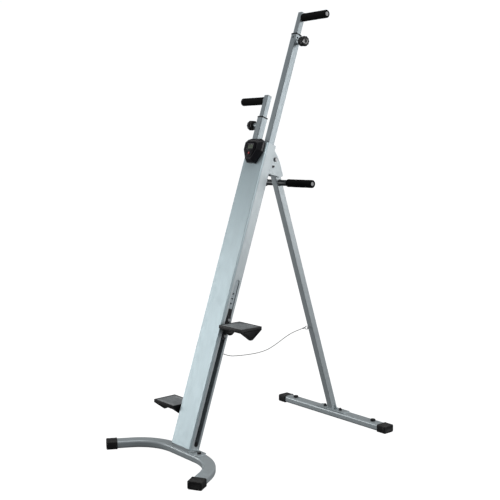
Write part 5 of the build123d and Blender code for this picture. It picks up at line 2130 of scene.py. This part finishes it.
# ------------------------------------------------------------------ static bar
@dataclass
class StaticBar:
    """Foam grips and end plugs of the fixed bar on the rear leg.

    Attributes:
        end_round: Radius of the foam's rounded ends.
        plug_radius: Radius of the end plug.
    """

    end_round: float = 0.004
    plug_radius: float = 0.0078

    def build(self) -> None:
        """Model one grip and turn a copy round to the other side."""
        low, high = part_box("static_grips")
        bar_low, bar_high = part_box("static_bar")
        radius = (high.z - low.z) / 2 - 0.0001
        half_bar = (bar_high.z - bar_low.z) / 2
        start = 0.065
        length = high.x - start
        middle = (low + high) / 2
        rings = [(0.0, radius - self.end_round)]
        for step in range(1, 5):
            turn = step / 4 * math.pi / 2
            drop = self.end_round * (1 - math.sin(turn))
            rings.append((self.end_round * (1 - math.cos(turn)), radius - drop))
        count = 24
        for step in range(1, count):
            along = self.end_round + (length - 2 * self.end_round) * step / count
            dip = 0.00022 * math.sin(step * 2.3 + 0.6) + 0.00016 * math.sin(step * 3.1)
            rings.append((along, radius - abs(dip)))
        for step in range(5):
            turn = (1 - step / 4) * math.pi / 2
            drop = self.end_round * (1 - math.sin(turn))
            rings.append((length - self.end_round * (1 - math.cos(turn)), radius - drop))
        rings += [
            (length, self.plug_radius + 0.0012),
            (length - 0.0008, self.plug_radius + 0.0004),
            (length - 0.0026, self.plug_radius),
        ]
        bore = [(0.0, half_bar + 0.0002), (length - 0.0031, half_bar + 0.0001)]
        right = turned("right_static_foam", (start, middle.y, middle.z), Axis.X, rings, 56, bore)
        clouds = bpy.data.textures.new("static_foam_swell", "CLOUDS")
        clouds.noise_scale = 0.018
        modified(right, "DISPLACE", texture=clouds, strength=0.0005, mid_level=1.0, texture_coords="LOCAL")
        centre = Matrix.Translation((0.0, middle.y, 0.0))
        turn = centre @ Matrix.Rotation(math.pi, 4, "Z") @ centre.inverted()
        left = copied(right, "left_static_foam", turn)
        for foam, nodes in ((right, ["static_grips"]), (left, [])):
            fitted(smoothed(foam, 55.0), "leg", "grip_foam", UPRIGHT, nodes)
        for way, name in ((1.0, "right_static_plug"), (-1.0, "left_static_plug")):
            place = Matrix.Identity(4) if way > 0 else turn
            plug = turned(
                name,
                (high.x - 0.003, middle.y, middle.z),
                Axis.X,
                [
                    (0.0, self.plug_radius - 0.0002),
                    (0.0014, self.plug_radius - 0.0002),
                    (0.0019, self.plug_radius - 0.0008),
                    (0.0019, self.plug_radius * 0.5),
                    (0.0012, self.plug_radius * 0.42),
                ],
                32,
            )
            plug.matrix_world = place
            fitted(smoothed(settle(plug), 40.0), "leg", "pale_plug")


# ------------------------------------------------------------------ welds on the frame
@dataclass
class FrameWelds:
    """Weld beads where the leg, the bar and the feet meet.

    Attributes:
        bead: Radius of a bead.
    """

    bead: float = 0.0016

    def around_leg_foot(self) -> None:
        """Weld the leg's foot to its saddle plate."""
        plate_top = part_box("rear_foot_tube")[1].z + 0.0025
        leg = [v.co for v in frame["nodes"]["leg_tube"].data.vertices if v.co.z < plate_top + 0.02]
        front, back = min(p.y for p in leg), max(p.y for p in leg)
        half = max(p.x for p in leg)
        level = plate_top + 0.0004
        ends = ((-half, front), (half, front), (half, back), (-half, back))
        for index in range(4):
            start, end = ends[index], ends[(index + 1) % 4]
            seam = weld_seam(
                f"leg_foot_weld_{index}", (*start, level), (*end, level), self.bead
            )
            fitted(seam, "leg", "weld_paint")

    def around_bar(self) -> None:
        """Weld the fixed bar where it comes out of the leg."""
        low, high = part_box("static_bar")
        middle = (low + high) / 2
        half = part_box("leg_tube")[1].x
        for side in Side:
            bead = weld_ring(
                f"{side.word}_bar_weld",
                (side.value * (half + 0.0005), middle.y, middle.z),
                Axis.X,
                (high.z - low.z) / 2 + 0.0004,
                self.bead,
            )
            fitted(bead, "leg", "weld_paint")

    def along_pedestal(self) -> None:
        """Weld the column's foot to the front saddle."""
        low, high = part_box("front_saddle")
        channel_low, channel_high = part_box("column_channel")
        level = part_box("front_foot_tube")[1].z + 0.0029
        for side in Side:
            x = side.value * 0.0503
            seam = weld_seam(
                f"{side.word}_pedestal_weld", (x, low.y + 0.008, level), (x, high.y - 0.009, level), self.bead
            )
            fitted(seam, "frame", "weld_paint")

    def build(self) -> None:
        """Lay all the beads."""
        self.around_leg_foot()
        self.around_bar()
        self.along_pedestal()


def main() -> None:
    """Build the groups, the finishes and every piece in order."""
    logging.basicConfig(level=logging.INFO, format="%(message)s")
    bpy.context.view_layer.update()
    for make_group in (group_soft_edge, group_clouds, group_grain, group_dust, group_scuffs, group_brushing):
        make_group()
    for finish in FINISHES:
        finish.make()
    log.info("made %d finishes", len(FINISHES))
    Studio().build()
    SafetyCable().build()
    log.info("laid the safety cable")
    dress_frame()
    pieces: list[Any] = [
        Console(),
        HandleSide(Side.RIGHT),
        HandleSide(Side.LEFT),
        Pedal(Side.RIGHT),
        Pedal(Side.LEFT),
        FootCaps("front_caps", "frame", "front_foot_tube"),
        FootCaps("rear_caps", "leg", "rear_foot_tube"),
        StaticBar(),
        FrameWelds(),
    ]
    for piece in pieces:
        piece.build()
        log.info("built %s", type(piece).__name__)
    deselect()


if __name__ == "__main__":
    main()
